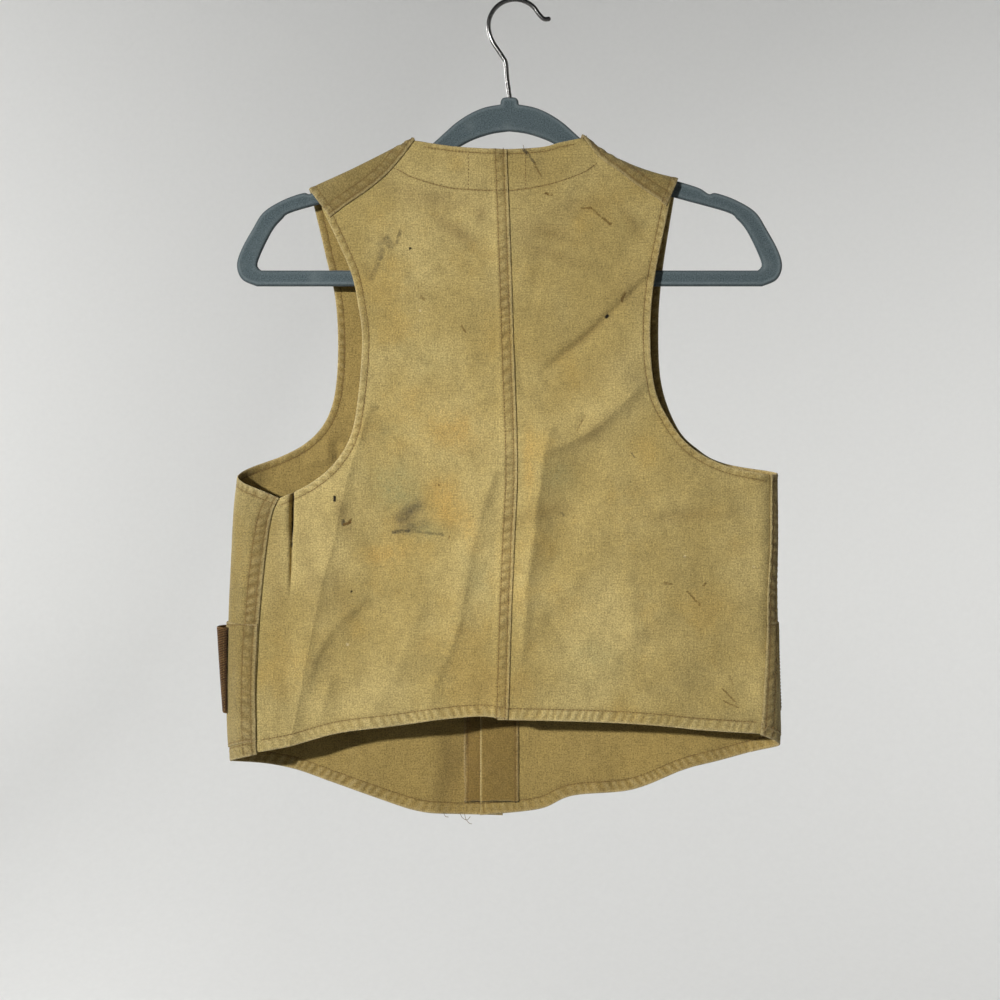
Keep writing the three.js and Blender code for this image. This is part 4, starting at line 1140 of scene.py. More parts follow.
def seam_flat_x(side, z):
    """The flat x of a front's side seam, held past the seam's ends."""
    rows = by_height(BACK[side]["side"])
    held = np.clip(z, SIDE_SEAM_FOOT, rows[-1][0])
    return flat_x(side, read_table(rows, held), held)


def own_lift(side, x):
    """How far the left front stands off the right one where they overlap."""
    ramp = OVERLAP_LIFT * ease(x, OVERLAP_FROM - OVERLAP_RAMP, OVERLAP_FROM)
    return ramp if side == "left" else 0 * x


def front_runs(side):
    rows, crest = FRONT[side], np.array(SHOULDER_TOP[side])
    x, z = np.array(BACK[side]["side"], float).T
    seam = np.column_stack([flat_x(side, x, z), z])
    wrapped = [(float(flat_x(side, np.array([x]), np.array([z]))[0]), z) for x, z in rows["wrapped"]]
    shoulder = np.column_stack(over_shoulder(side, *np.array(BACK[side]["shoulder"]).T))
    opening = [(FRONT_EDGE[side], V_POINT_Z), (FRONT_EDGE[side], rows["hem"][-1][1])]
    middle = (np.array(opening[0]) + crest[-1]) / 2 - (SIGN[side] * V_CURVE, 0)
    return {
        "seam": seam,
        "armhole": [seam[-1], *wrapped, *rows["armhole"]],
        "shoulder_end": [crest[0], shoulder[0]],
        "shoulder": shoulder,
        "neck_end": [shoulder[-1], crest[-1]],
        "v_edge": [crest[-1], middle, opening[0]],
        "opening": opening,
        "hem": [*rows["hem"][::-1], seam[0]],
    }


# %% Laps, pockets' room, grime and painted shade
FRONT_EDGE_KINDS = {
    "seam": "seam", "armhole": "armhole", "shoulder_end": "armhole", "shoulder": "seam",
    "neck_end": "neck", "v_edge": "neck", "opening": "front", "hem": "hem",
}
POCKET = {"top": -508, "up": 10.4, "width": 177.6, "from_seam": 0.4, "gap": 0.12}
SHOULDER_GRIME = {"dirt": 0.24, "over": 8}
# Painted shade of a fold low on the left front, beside the front edges
LOW_FOLD_SHADE = {"x": -50, "z": -640, "half_width": 14, "half_height": 40, "dirt": 0.45}


def from_side_seam(side, x, z):
    return (seam_flat_x(side, z) - x) * SIGN[side]


def pocket_foot(side, x):
    """The foot of a pocket, which follows the hem round the side to its seam."""
    seam_end = BACK[side]["side"][0][1]
    hem = [*FRONT[side]["hem"], (float(seam_flat_x(side, seam_end)), seam_end)]
    return read_table(hem, np.clip(x, min(hem)[0], max(hem)[0])) + POCKET["up"]


def off_pocket(side):
    """1 where a front is bare, 0 where its pocket lies on it."""

    def bare(x, z):
        across = ease(from_side_seam(side, x, z), POCKET["width"] + 1, POCKET["width"] - 1)
        return 1 - across * ease(z, POCKET["top"] + 1, POCKET["top"] - 1) * ease(z - pocket_foot(side, x), -1, 1)

    return bare


def front_lift(side):
    """A front's height over the back where it laps it, and over the other front."""

    def lift(x, z):
        at_side = (LAYER + SIDE_EASE) * (1 - ease(from_side_seam(side, x, z), SIDE_LAP, SIDE_LAP + LAP_RAMP))
        over_top = LAYER * ease(z - crest_z(side, x), 0, SHOULDER_LIFTS_OVER)
        return np.maximum(at_side, over_top) + np.where(z < crest_z(side, x), own_lift(side, x), 0)

    return lift


def front_grime_and_shade(side):
    """Grime on the shoulders, and painted shade of a fold low down beside the front edges."""

    def stains(x, z):
        across = (x - LOW_FOLD_SHADE["x"]) / LOW_FOLD_SHADE["half_width"]
        up = (z - LOW_FOLD_SHADE["z"]) / LOW_FOLD_SHADE["half_height"]
        grime = SHOULDER_GRIME["dirt"] * ease(z - crest_z(side, x), 0, SHOULDER_GRIME["over"])
        return {"dirt": np.maximum(grime, LOW_FOLD_SHADE["dirt"] * np.exp(-(across**2 + up**2)))}

    return stains


# %% Sew the fronts
CREST_STEP = 2.4
fronts = {}
for side in SIDES:
    runs = front_runs(side)
    beside = {name: edge_rows(kind) for name, kind in FRONT_EDGE_KINDS.items()}
    across = np.arange(*sorted((SHOULDER_TOP[side][0][0], SHOULDER_TOP[side][-1][0])), CREST_STEP)
    crest = [np.column_stack([across, crest_z(side, across) + above]) for above in CREST_ROWS]
    cut = cut_pattern(runs, beside, crest, grid=2.8)
    edges = [(kind, cut["lines"][name]) for name, kind in FRONT_EDGE_KINDS.items()]
    fronts[side] = {
        "place": lambda x, z, side=side: front_place(side, x, z),
        "facing": -1,
        "lift": front_lift(side),
        "finish": edges_finish(edges, off_pocket(side)),
        "bare": off_pocket(side),
        "stains": front_grime_and_shade(side),
        "lines": cut["lines"],
    }
    panel = sewn(f"front_panel_{side}", fronts[side], cut, front_canvas)
    hang(panel, cut, f"front_{side}")

# %% [markdown]
# ## Facings
# A strip of less faded canvas, in a darker tone that is painted shade, stiffens the inside of the neck
# and of each front edge. It follows the cloth it is sewn to one layer further in, so it reuses that
# cloth's own place and lift.

# %% Neck facing
FACING_WIDTH, FACING_SETBACK, FACING_EASE, FACING_FALL, FACING_TOP = 31, 1.5, 0.9, 14, -140
NECK_FACING_X, NECK_FACING_DEPTH = (-68, 42), 30
NECK_FACING_ENDS, NECK_FACING_SAG = 0.55, 0.45
neck_edge = [*BACK["left"]["neck"], *BACK["right"]["neck"][-2::-1]]


def strip_runs(spot, columns, rows):
    """The outline of a strip whose corners are set out by columns and rows."""
    foot, head = [spot(c, rows[0]) for c in columns], [spot(c, rows[-1]) for c in columns]
    return {
        "foot": foot,
        "end": [spot(columns[-1], r) for r in rows],
        "head": head[::-1],
        "start": [spot(columns[0], r) for r in rows[::-1]],
    }


def neck_spot(x, down):
    share = (x - NECK_FACING_X[0]) / (NECK_FACING_X[1] - NECK_FACING_X[0])
    sag = NECK_FACING_ENDS + NECK_FACING_SAG * math.sin(math.pi * share)
    return x, float(read_table(neck_edge, x)) - FACING_SETBACK - down * NECK_FACING_DEPTH * sag


cut = cut_pattern(strip_runs(neck_spot, np.linspace(*NECK_FACING_X, 12), np.linspace(1, 0, 3)), {}, grid=2.6)
neck_facing = {"place": back_place, "facing": 1, "lift": lambda x, z: 0 * x - LAYER}
hang(sewn("neck_facing_strip", neck_facing, cut, facing_canvas), cut, "neck_facing")

# %% Front facings
# Painted shade: the left facing, which lies between the two fronts, is darkened far more than the right one
FACING_SHADE = {"left": 0.42, "right": 0.12}
FACING_FALLS_OVER, FACING_EASES_OVER, FACING_HEIGHTS = (-30, 60), 50, 60
facings = {}
for side in SIDES:
    v_edge = by_height(fronts[side]["lines"]["v_edge"].tolist())

    def facing_spot(inward, z, side=side, v_edge=v_edge):
        edge = FRONT_EDGE[side] if z < V_POINT_Z else float(read_table(v_edge, z))
        fall = FACING_FALL * inward * float(ease(z - V_POINT_Z, *FACING_FALLS_OVER))
        return edge + SIGN[side] * (FACING_SETBACK + inward * FACING_WIDTH), z - fall

    def facing_lift(x, z, side=side):
        eased = OVERLAP_EASE + FACING_EASE * ease(z - V_POINT_Z, 0, FACING_EASES_OVER)
        return own_lift(side, x) - LAYER - eased

    facing_foot = FRONT[side]["hem"][-1][1] + EDGES["hem"]["rows"][0] + FACING_SETBACK
    heights = np.linspace(facing_foot, FACING_TOP, FACING_HEIGHTS)
    runs = strip_runs(facing_spot, (0, 0.5, 1), heights)
    cut = cut_pattern(runs, {"end": edge_rows("front"), "start": edge_rows("front")}, grid=2.8)
    facings[side] = {
        "place": fronts[side]["place"],
        "facing": -1,
        "lift": facing_lift,
        "finish": edges_finish([("front", cut["lines"]["end"])]),
        "stains": lambda x, z, side=side: {"dirt": 0 * x + FACING_SHADE[side]},
        "lines": cut["lines"],
    }
    strip = sewn(f"front_facing_strip_{side}", facings[side], cut, facing_canvas)
    hang(strip, cut, f"front_facing_{side}")

# %% [markdown]
# ## Pockets and shell loops
# A patch pocket runs from each side seam across the front, flat where it is sewn and slack between.
# A band of brown webbing stands on it in a row of loops. Its end is the brown tab at the vest's
# left side. Webbing is ribbed across, so its finish is stripes along the flat map.

# %% Pockets
POCKET_EDGE_KINDS = {"start": "seam", "foot": "pocket", "end": "pocket", "head": "pocket"}
POCKET_SLACK = {"left": 2.2, "right": 5.0}
SLACK_AT_FOOT, SLACK_TO_TOP, SLACK_STARTS = 0.4, 0.6, (0.04, 0.3)
ON_FRONT, PRESSED, PRESSED_OVER = 1.6, 0.4, (2, 16)
POCKET_DIRT = 0.14
pockets = {}


def pocket_lift(side):
    """A pocket's height over its front: pressed flat by the side seam, and slack in its middle and at its top."""

    def lift(x, z):
        inward, foot = from_side_seam(side, x, z), pocket_foot(side, x)
        share = np.clip((inward - POCKET["from_seam"]) / POCKET["width"], 0, 1)
        up = np.clip((z - foot) / (POCKET["top"] - foot), 0, 1)
        slack = POCKET_SLACK[side] * np.sin(math.pi * share) * (SLACK_AT_FOOT + SLACK_TO_TOP * up)
        sewn_down = 1 - PRESSED * (1 - ease(inward, *PRESSED_OVER))
        on_front = fronts[side]["lift"](x, z) + ON_FRONT * HALF_CLOTH * sewn_down + POCKET["gap"]
        return on_front + slack * ease(share, *SLACK_STARTS)

    return lift


for side in SIDES:

    def pocket_spot(column, up, side=side):
        inward = -SIGN[side] * (POCKET["from_seam"] + column)
        foot = float(pocket_foot(side, seam_flat_x(side, POCKET["top"]) + inward))
        z = foot + (POCKET["top"] - foot) * up
        return float(seam_flat_x(side, z)) + inward, z

    runs = strip_runs(pocket_spot, np.linspace(0, POCKET["width"], 30), np.linspace(0, 1, 8))
    cut = cut_pattern(runs, {name: edge_rows(kind) for name, kind in POCKET_EDGE_KINDS.items()}, grid=2.6)
    edges = [(kind, cut["lines"][name]) for name, kind in POCKET_EDGE_KINDS.items()]
    pockets[side] = {
        "place": fronts[side]["place"],
        "facing": -1,
        "lift": pocket_lift(side),
        "finish": edges_finish(edges, both_faces=False),
        "stains": lambda x, z: {"dirt": 0 * x + POCKET_DIRT},
        "lines": cut["lines"],
    }
    pocket = sewn(f"patch_pocket_{side}", pockets[side], cut, front_canvas)
    hang(pocket, cut, f"pocket_{side}")

# %% Webbing finish and shell loops
LOOPS = {"count": 5, "pitch": 26, "top": -512, "height": 70, "rise_top": 6.6, "rise_foot": 2.2, "gap": 0.2}
LOOP_FROM_SEAM = {"left": 26, "right": 30}
LOOP_ON_POCKET, LOOP_ARCH = 1.2, 0.8
LOOP_SHADE_WIDTH, LOOP_WEAR_WIDTH, LOOP_WEAR = 2.2, 1.6, 0.6
LOOP_STITCH = {"from_end": 0.07, "from_edge": 3, "points": 24}
RIB_PITCH = 0.0019


def webbing():
    material, surface, paint = new_finish("brown_webbing")
    at = paint.place()
    across, up = paint.flat_map().parts()
    rib = paint.math("SINE", (up + across * 0.35) * (2 * math.pi / RIB_PITCH)) * 0.5 + 0.5
    fuzz = paint.noise(at, 520, 2, 0.6)
    patch = paint.noise(at, 60, 3, 0.6)
    base = rib.tint(colour(62, 42, 20), colour(106, 76, 40))
    base = (patch.between(0.42, 0.7) * 0.4).tint(base, colour(126, 94, 52))
    base = (fuzz.between(0.5, 0.75) * 0.5).tint(base, colour(72, 50, 26))
    # The dirt and shade mask lays painted shade where the band dips between loops
    base = (paint.stored("dirt") * 0.7).tint(base, colour(40, 26, 12))
    base = (paint.stored("wear") * 0.6).tint(base, colour(150, 116, 72))
    finish_with(surface, paint, base, 0.8 + fuzz * 0.15, paint.bump(rib * 1.2 + fuzz * 0.5, 0.0008, 0.8))
    surface.inputs["Specular IOR Level"].default_value = 0.25
    return material


brown_webbing = webbing()
loops = {}
for side in SIDES:

    def loop_spot(k, z, side=side):
        return float(seam_flat_x(side, z)) - SIGN[side] * (LOOP_FROM_SEAM[side] + k * LOOPS["pitch"]), z

    def loop_lift(x, z, side=side):
        k = (from_side_seam(side, x, z) - LOOP_FROM_SEAM[side]) / LOOPS["pitch"]
        down = np.clip((LOOPS["top"] - z) / LOOPS["height"], 0, 1)
        rise = LOOPS["rise_top"] + (LOOPS["rise_foot"] - LOOPS["rise_top"]) * down
        on_pocket = pockets[side]["lift"](x, z) + LOOP_ON_POCKET + LOOPS["gap"]
        return on_pocket + rise * np.abs(np.sin(math.pi * k)) ** LOOP_ARCH

    def loop_finish(x, z, side=side):
        """Painted shade where the band is sewn down between loops, and rubbed along its top and its foot."""
        k = (from_side_seam(side, x, z) - LOOP_FROM_SEAM[side]) / LOOPS["pitch"]
        edge = np.minimum(LOOPS["top"] - z, z - LOOPS["top"] + LOOPS["height"])
        made = plain_finish(x, z)
        # Painted shade in the dips where the band is sewn down between loops
        made["dirt"] = np.exp(-((np.abs(k - np.round(k)) * LOOPS["pitch"] / LOOP_SHADE_WIDTH) ** 2))
        made["wear"] = LOOP_WEAR * np.exp(-((edge / LOOP_WEAR_WIDTH) ** 2))
        return made

    runs = strip_runs(loop_spot, np.linspace(0, LOOPS["count"], 31), (LOOPS["top"] - LOOPS["height"], LOOPS["top"]))
    cut = cut_pattern(runs, {name: EDGE_ROWS for name in runs}, grid=2.2)
    loops[side] = {"place": fronts[side]["place"], "facing": -1, "lift": loop_lift, "finish": loop_finish}
    columns = np.clip(range(LOOPS["count"] + 1), LOOP_STITCH["from_end"], LOOPS["count"] - LOOP_STITCH["from_end"])
    downs = np.linspace(LOOP_STITCH["from_edge"], LOOPS["height"] - LOOP_STITCH["from_edge"], LOOP_STITCH["points"])
    loops[side]["rows"] = [[loop_spot(k, LOOPS["top"] - down) for down in downs] for k in columns]
    band = sewn(f"loop_band_{side}", loops[side], cut, brown_webbing)
    hang(band, cut, f"shell_loops_{side}")

# %% [markdown]
# ## Stitching
# Every hem and seam shows rows of brown thread. Thousands of stitches follow a path, which is work
# for Geometry Nodes: each row is a line on the cloth that carries the way out of the cloth, the
# tree walks it at an even pitch and lays a small bead of thread at every step, sunk in its groove.

# %% Trees that grow meshes
def node_tree(name, inputs):
    """A Geometry Nodes tree with named inputs, each a socket type and a value, and a helper to add nodes."""
    tree = bpy.data.node_groups.new(name, "GeometryNodeTree")
    tree.interface.new_socket("Geometry", in_out="INPUT", socket_type="NodeSocketGeometry")
    for label, kind in inputs.items():
        tree.interface.new_socket(label, in_out="INPUT", socket_type=f"NodeSocket{kind}")
    tree.interface.new_socket("Geometry", in_out="OUTPUT", socket_type="NodeSocketGeometry")
    start = tree.nodes.new("NodeGroupInput")

    def add(kind, settings=None, inputs=None):
        made = tree.nodes.new(kind)
        for key, value in (settings or {}).items():
            setattr(made, key, value)
        for key, value in (inputs or {}).items():
            if isinstance(value, bpy.types.NodeSocket):
                tree.links.new(value, made.inputs[key])
            else:
                made.inputs[key].default_value = value
        return made.outputs

    def end(geometry):
        tree.links.new(geometry, tree.nodes.new("NodeGroupOutput").inputs[0])

    return tree, start.outputs, add, end


def grown(name, tree, mesh, values):
    """The plain mesh that a tree makes of another, as an object at the origin."""
    seed = bpy.data.objects.new(name + "_rows", mesh)
    bpy.context.scene.collection.objects.link(seed)
    modifier = seed.modifiers.new("grow", "NODES")
    modifier.node_group = tree
    for item in tree.interface.items_tree:
        if item.in_out == "INPUT" and item.name in values:
            modifier[item.identifier] = values[item.name]
    ready = seed.evaluated_get(bpy.context.evaluated_depsgraph_get())
    made = bpy.data.meshes.new_from_object(ready)
    bpy.data.objects.remove(seed)
    piece = bpy.data.objects.new(name, made)
    bpy.context.scene.collection.objects.link(piece)
    print(name, len(made.polygons), "faces")
    return piece


# %% Stitch tree
stitch_tree, given, add, end = node_tree(
    "stitch_rows", {"Pitch": "Float", "Length": "Float", "Thread": "Float", "Seed": "Int", "Material": "Material"})
row = add("GeometryNodeMeshToCurve", None, {0: given["Geometry"]})[0]
row = add("GeometryNodeResampleCurve", {"mode": "LENGTH"}, {"Curve": row, "Length": given["Pitch"]})[0]
out = add("GeometryNodeInputNamedAttribute", {"data_type": "FLOAT_VECTOR"}, {"Name": "out"})[0]
ahead = add("GeometryNodeInputTangent")[0]
turn = add("FunctionNodeAxesToRotation", {"primary_axis": "X", "secondary_axis": "Z"}, {0: ahead, 1: out})[0]
vary = add("FunctionNodeRandomValue", {"data_type": "FLOAT"}, {2: 0.86, 3: 1.1, "Seed": given["Seed"]})[1]
longer = add("ShaderNodeMath", {"operation": "MULTIPLY"}, {0: given["Length"], 1: vary})[0]
size = add("ShaderNodeCombineXYZ", None, {0: longer, 1: given["Thread"], 2: given["Thread"]})[0]
bead = add("GeometryNodeMeshUVSphere", None, {"Segments": 6, "Rings": 4, "Radius": 0.5})[0]
rows = add("GeometryNodeInstanceOnPoints", None, {"Points": row, "Instance": bead, "Rotation": turn, "Scale": size})[0]
rows = add("GeometryNodeRealizeInstances", None, {0: rows})[0]
rows = add("GeometryNodeSetShadeSmooth", None, {0: rows})[0]
end(add("GeometryNodeSetMaterial", None, {"Geometry": rows, "Material": given["Material"]})[0])


# %% Thread finish and rows of stitches
THREAD_OUT = 0.1


def thread(name, light, dark):
    material, surface, paint = new_finish(name)
    at = paint.place()
    twist = paint.noise(at, 1500, 2, 0.6)
    worn = paint.noise(at, 45, 2, 0.5)
    base = (twist * 0.6 + worn * 0.5).between(0.3, 0.8).tint(dark, light)
    finish_with(surface, paint, base, 0.75 + twist * 0.2, paint.bump(twist, 0.0002, 0.6))
    return material


def on_cloth(cloth, flat, inner=False):
    """A flat line's places on a cloth's face, and the way out of the cloth there."""
    x, z = np.array(flat, float).T
    at, out = bent(cloth, x, z)
    finish = cloth.get("finish", plain_finish)(x, z)
    height = -(finish["under"] + THREAD_OUT) if inner else finish["top"] + THREAD_OUT
    return at + out * height[:, None], -out if inner else out


def line_mesh(name, lines):
    """One mesh of loose lines, each with its points and the way out at each."""
    mesh = bpy.data.meshes.new(name)
    points = np.vstack([at for at, _ in lines]) * MM
    joins, start = [], 0
    for at, _ in lines:
        joins += [(start + k, start + k + 1) for k in range(len(at) - 1)]
        start += len(at)
    mesh.from_pydata(points.tolist(), joins, [])
    ways = np.vstack([out for _, out in lines]).astype(np.float32)
    mesh.attributes.new("out", "FLOAT_VECTOR", "POINT").data.foreach_set("vector", ways.ravel())
    return mesh


def sewn_row(cloth, name, by, inner=False):
    """Rows of stitching beside one of a cloth's edges, broken where other cloth covers them."""
    outline = np.vstack([part[:-1] for part in cloth["lines"].values()])
    flat = inset(cloth["lines"][name], by, math.copysign(1, signed_area(outline)))
    seen = is_inside(outline, *flat.T)
    if "bare" in cloth and not inner:
        seen &= cloth["bare"](*flat.T) > 0.5
    breaks = np.flatnonzero(np.diff(seen)) + 1
    runs = zip(np.split(flat, breaks), seen[[0, *breaks]])
    return [on_cloth(cloth, run, inner) for run, kept in runs if kept and len(run) > 1]


# %% Sew every row
NECK_TABS_X, NECK_TABS_Z = (-38, 8.6), (-127.5, -155)
BUTTON = {
    "count": 5, "radius": 8, "thickness": 3, "x": -19.5, "top": -292, "pitch": 76, "gap": 0.7,
    "hole": 0.95, "hole_out": 2.3,
}
BUTTONHOLE_ALONG, BUTTONHOLE_UP = (-12, -5, 2), (-1, 1)
STITCH = {"Pitch": 2.8 * MM, "Length": 2.2 * MM, "Thread": 0.6 * MM, "Seed": 5}
stitch_lines = [on_cloth(backs["left"], neck_stitch[neck_stitch[:, 0] < seam_x(neck_stitch[:, 1])])]
stitch_lines += [on_cloth(backs["right"], neck_stitch[neck_stitch[:, 0] > seam_x(neck_stitch[:, 1]) + 1])]
for x, side in zip(NECK_TABS_X, SIDES):
    stitch_lines.append(on_cloth(backs[side], [(x, z) for z in np.linspace(*NECK_TABS_Z, 14)]))
rows = [(backs["left"], "middle", by, False) for by in EDGES["seam"]["rows"]]
for side in SIDES:
    rows += [(backs[side], kind, EDGES[kind]["rows"][0], False) for kind in ("hem", "armhole", "neck")]
    rows += [(fronts[side], name, by, False) for name, kind in FRONT_EDGE_KINDS.items() for by in EDGES[kind]["rows"]]
    rows += [(fronts[side], kind, EDGES[kind]["rows"][0], True) for kind in ("hem", "armhole")]
    rows += [(facings[side], "end", EDGES["front"]["rows"][0], True)]
    rows += [(pockets[side], name, by, False) for name, kind in POCKET_EDGE_KINDS.items() for by in EDGES[kind]["rows"]]
    stitch_lines += [on_cloth(loops[side], row) for row in loops[side]["rows"]]
for k in range(BUTTON["count"]):
    z0 = BUTTON["top"] - k * BUTTON["pitch"]
    for up in BUTTONHOLE_UP:
        stitch_lines.append(on_cloth(fronts["left"], [(BUTTON["x"] + along, z0 + up) for along in BUTTONHOLE_ALONG]))
stitch_lines += [run for row in rows for run in sewn_row(*row)]
brown_thread = thread("brown_thread", colour(142, 112, 62), colour(86, 62, 30))
stitch_mesh = line_mesh("stitch_lines", stitch_lines)
stitches = grown("seam_stitches", stitch_tree, stitch_mesh, {**STITCH, "Material": brown_thread})
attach(stitches, "root")

# %% [markdown]
# ## Buttons
# Five dark buttons with four holes close the front. Each is a thin disc with a raised rim, which is
# the same kind of shape as the cloth: a flat pattern, here with holes in it, given a height on
# both faces. So the pattern cutter makes it too, and the edges of its holes come out rounded.

# %% Horn finish
def horn():
    material, surface, paint = new_finish("dark_horn")
    at = paint.place()
    swirl = paint.noise(at, 160, 4, 0.6)
    streak = paint.noise(paint.vector("MULTIPLY", at, (1.0, 1.0, 0.25)), 420, 2, 0.5)
    base = (swirl * 0.7 + streak * 0.3).between(0.35, 0.65).tint(colour(44, 30, 19), colour(92, 66, 42))
    finish_with(surface, paint, base, 0.3 + streak * 0.2, paint.bump(streak, 0.0002, 0.4))
    return material


def ring(x, z, radius, count):
    turn = np.linspace(0, 2 * math.pi, count, endpoint=False)
    return np.column_stack([x + radius * np.cos(turn), z + radius * np.sin(turn)])


# %% Buttons
HOLE_STEP = BUTTON["hole_out"] / 1.414
BUTTON_SEAT, DISH, DISH_EDGE = 0.6, 0.9, (3, 1.6)
RIM_ROWS, RIM_POINTS, HOLE_POINTS = (0.3, 0.8, 1.4, 2.2, 3), 56, 14
BUTTON_STITCH = {"Pitch": 1.6 * MM, "Length": 3 * MM, "Thread": 0.8 * MM, "Seed": 5}
BUTTON_STITCH_HALF = 0.8
dark_horn = horn()
button_lines = []
for k in range(BUTTON["count"]):
    x0, z0 = BUTTON["x"], BUTTON["top"] - k * BUTTON["pitch"]
    y0 = front_y("left", np.array([x0]), np.array([z0]))[0] + OVERLAP_LIFT + BUTTON_SEAT + BUTTON["gap"]
    rim = ring(x0, z0, BUTTON["radius"], RIM_POINTS)
    spots = [(x0 + a * HOLE_STEP, z0 + b * HOLE_STEP) for a in (-1, 1) for b in (-1, 1)]
    holes = [ring(*spot, BUTTON["hole"], HOLE_POINTS) for spot in spots]
    cut = cut_pattern({"rim": np.vstack([rim, rim[:1]])}, {"rim": RIM_ROWS}, holes=holes, grid=1.2)

    def button_finish(x, z, x0=x0, z0=z0):
        out = np.hypot(x - x0, z - z0)
        dish = DISH * (1 - ease(out, *(BUTTON["radius"] - edge for edge in DISH_EDGE)))
        half = BUTTON["thickness"] / 2 + 0 * x
        return {"top": half - dish, "under": half, "wear": 0 * x, "dirt": 0 * x}

    button = {
        "place": lambda x, z, y0=y0: np.column_stack([x, 0 * x + y0 + BUTTON["thickness"] / 2, z]),
        "facing": -1,
        "lift": lambda x, z: 0 * x,
        "finish": button_finish,
    }
    piece = sewn(f"horn_button_{k + 1}", button, cut, dark_horn, edge_round=1.0)
    stands_for(piece, f"button_{k + 1}")
    for x in (x0 - HOLE_STEP, x0 + HOLE_STEP):
        button_lines.append(on_cloth(button, [(x, z0 - BUTTON_STITCH_HALF), (x, z0 + BUTTON_STITCH_HALF)]))

button_mesh = line_mesh("button_lines", button_lines)
sewn_on = grown("button_threads", stitch_tree, button_mesh, {**BUTTON_STITCH, "Material": brown_thread})
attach(sewn_on, "root")

# %% [markdown]
# ## Hanger
# The hanger is one flat moulding with eased edges and a coat of flock, short fibres that drink the
# light and only show as a soft bloom at grazing angles. Its outline is half a table, mirrored.
# The pattern cutter serves again, with the long opening as a hole.

# %% Hanger outline and flock
HANGER_TOP = [
    (7.6, -84.3), (20.3, -86.7), (32, -91.6), (43.5, -99), (53.5, -107.8), (61, -114.6), (69, -120.4), (79.5, -126.1),
    (99.5, -135.9), (119.7, -142.9), (138.2, -147.4), (155.4, -152.8), (163.5, -157.7), (169.3, -156.9),
    (185.5, -162.6), (201.5, -172.5), (211, -187), (220.2, -204), (223.5, -217), (219, -228), (207, -233.5),
]
HANGER_COLLAR = [(7.6, -84.3), (7.1, -81.2), (5.4, -79), (2.6, -78.4), (0, -78.3)]
HANGER_INSIDE = [
    (0, -106.5), (14, -108.4), (28, -112.8), (39, -118.2), (60, -131), (100, -150), (136.5, -161), (177.5, -172.4),
    (186.5, -178.5), (195.6, -190), (206.5, -214), (203.5, -220.4),
]
HANGER_HALF, HANGER_STEP, HANGER_ROWS = 2.2, 2.4, (0.25, 0.8, 1.5, 2.2, 3, 4)
HANGER_LIP = {"rise": 0.5, "at": 2.4, "width": 0.9}
HANGER_RIM_DARK_WIDTH = 1.2


def mirrored(rows, sign):
    return [(HANGER_X + sign * out, z) for out, z in rows]


def flock():
    material, surface, paint = new_finish("slate_flock")
    at = paint.place()
    pile = paint.noise(at, 900, 3, 0.7)
    rubbed = paint.noise(at, 40, 4, 0.6)
    base = pile.between(0.3, 0.72).tint(colour(62, 75, 79), colour(100, 112, 115))
    base = (rubbed.between(0.5, 0.75) * 0.4).tint(base, colour(116, 126, 127))
    base = (paint.stored("wear") * 0.5).tint(base, colour(124, 135, 137))
    base = (paint.stored("dirt") * 0.6).tint(base, colour(44, 55, 58))
    finish_with(surface, paint, base, 0.9 + pile * 0.08, paint.bump(pile, 0.0005, 0.6))
    surface.inputs["Specular IOR Level"].default_value = 0.15
    surface.inputs["Sheen Weight"].default_value = 0.25
    surface.inputs["Sheen Roughness"].default_value = 0.5
    return material


# %% Cut the hanger
hanger_runs = {
    "top_right": mirrored(HANGER_TOP, 1)[::-1],
    "collar": mirrored(HANGER_COLLAR, 1) + mirrored(HANGER_COLLAR, -1)[-2::-1],
    "top_left": mirrored(HANGER_TOP, -1),
    "foot": mirrored(HANGER_TOP[-1:], -1) + mirrored(HANGER_TOP[-1:], 1),
}
opening = np.vstack([
    smooth_line(mirrored(HANGER_INSIDE, 1), HANGER_STEP)[:-1],
    smooth_line(mirrored(HANGER_INSIDE[-1:], 1) + mirrored(HANGER_INSIDE[-1:], -1), HANGER_STEP)[:-1],
    smooth_line(mirrored(HANGER_INSIDE, -1)[::-1], HANGER_STEP)[:-1],
])
cut = cut_pattern(hanger_runs, {name: HANGER_ROWS for name in hanger_runs}, holes=[opening], grid=HANGER_STEP)
outer = np.vstack([line[:-1] for line in cut["lines"].values()])
rims = [np.vstack([rim, rim[:1]]) for rim in (outer, opening)]


def board_finish(x, z):
    """A flat board with a low lip round its edges, lighter on the lip and darker at the very rim."""
    gap = np.min([from_line(rim, x, z)[1] for rim in rims], axis=0)
    lip = np.exp(-(((gap - HANGER_LIP["at"]) / HANGER_LIP["width"]) ** 2))
    half = HANGER_HALF + HANGER_LIP["rise"] * lip
    return {"top": half, "under": half, "wear": lip, "dirt": np.exp(-((gap / HANGER_RIM_DARK_WIDTH) ** 2))}


board = {
    "place": lambda x, z: np.column_stack([x, 0 * x, z]),
    "facing": 1,
    "lift": lambda x, z: 0 * x,
    "finish": board_finish,
}
hanger = sewn("flocked_hanger", board, cut, flock(), edge_round=2.2)
stands_for(hanger, "hanger_body")

# %% [markdown]
# ## Hook and loose threads
# The hook is bright wire bent round the rail, and a few frayed threads hang at the front hem. Both
# are a round section carried along a line, so one small tree makes them: the line becomes a curve
# and the section follows it. The line is given closely enough that the tree need not smooth it.

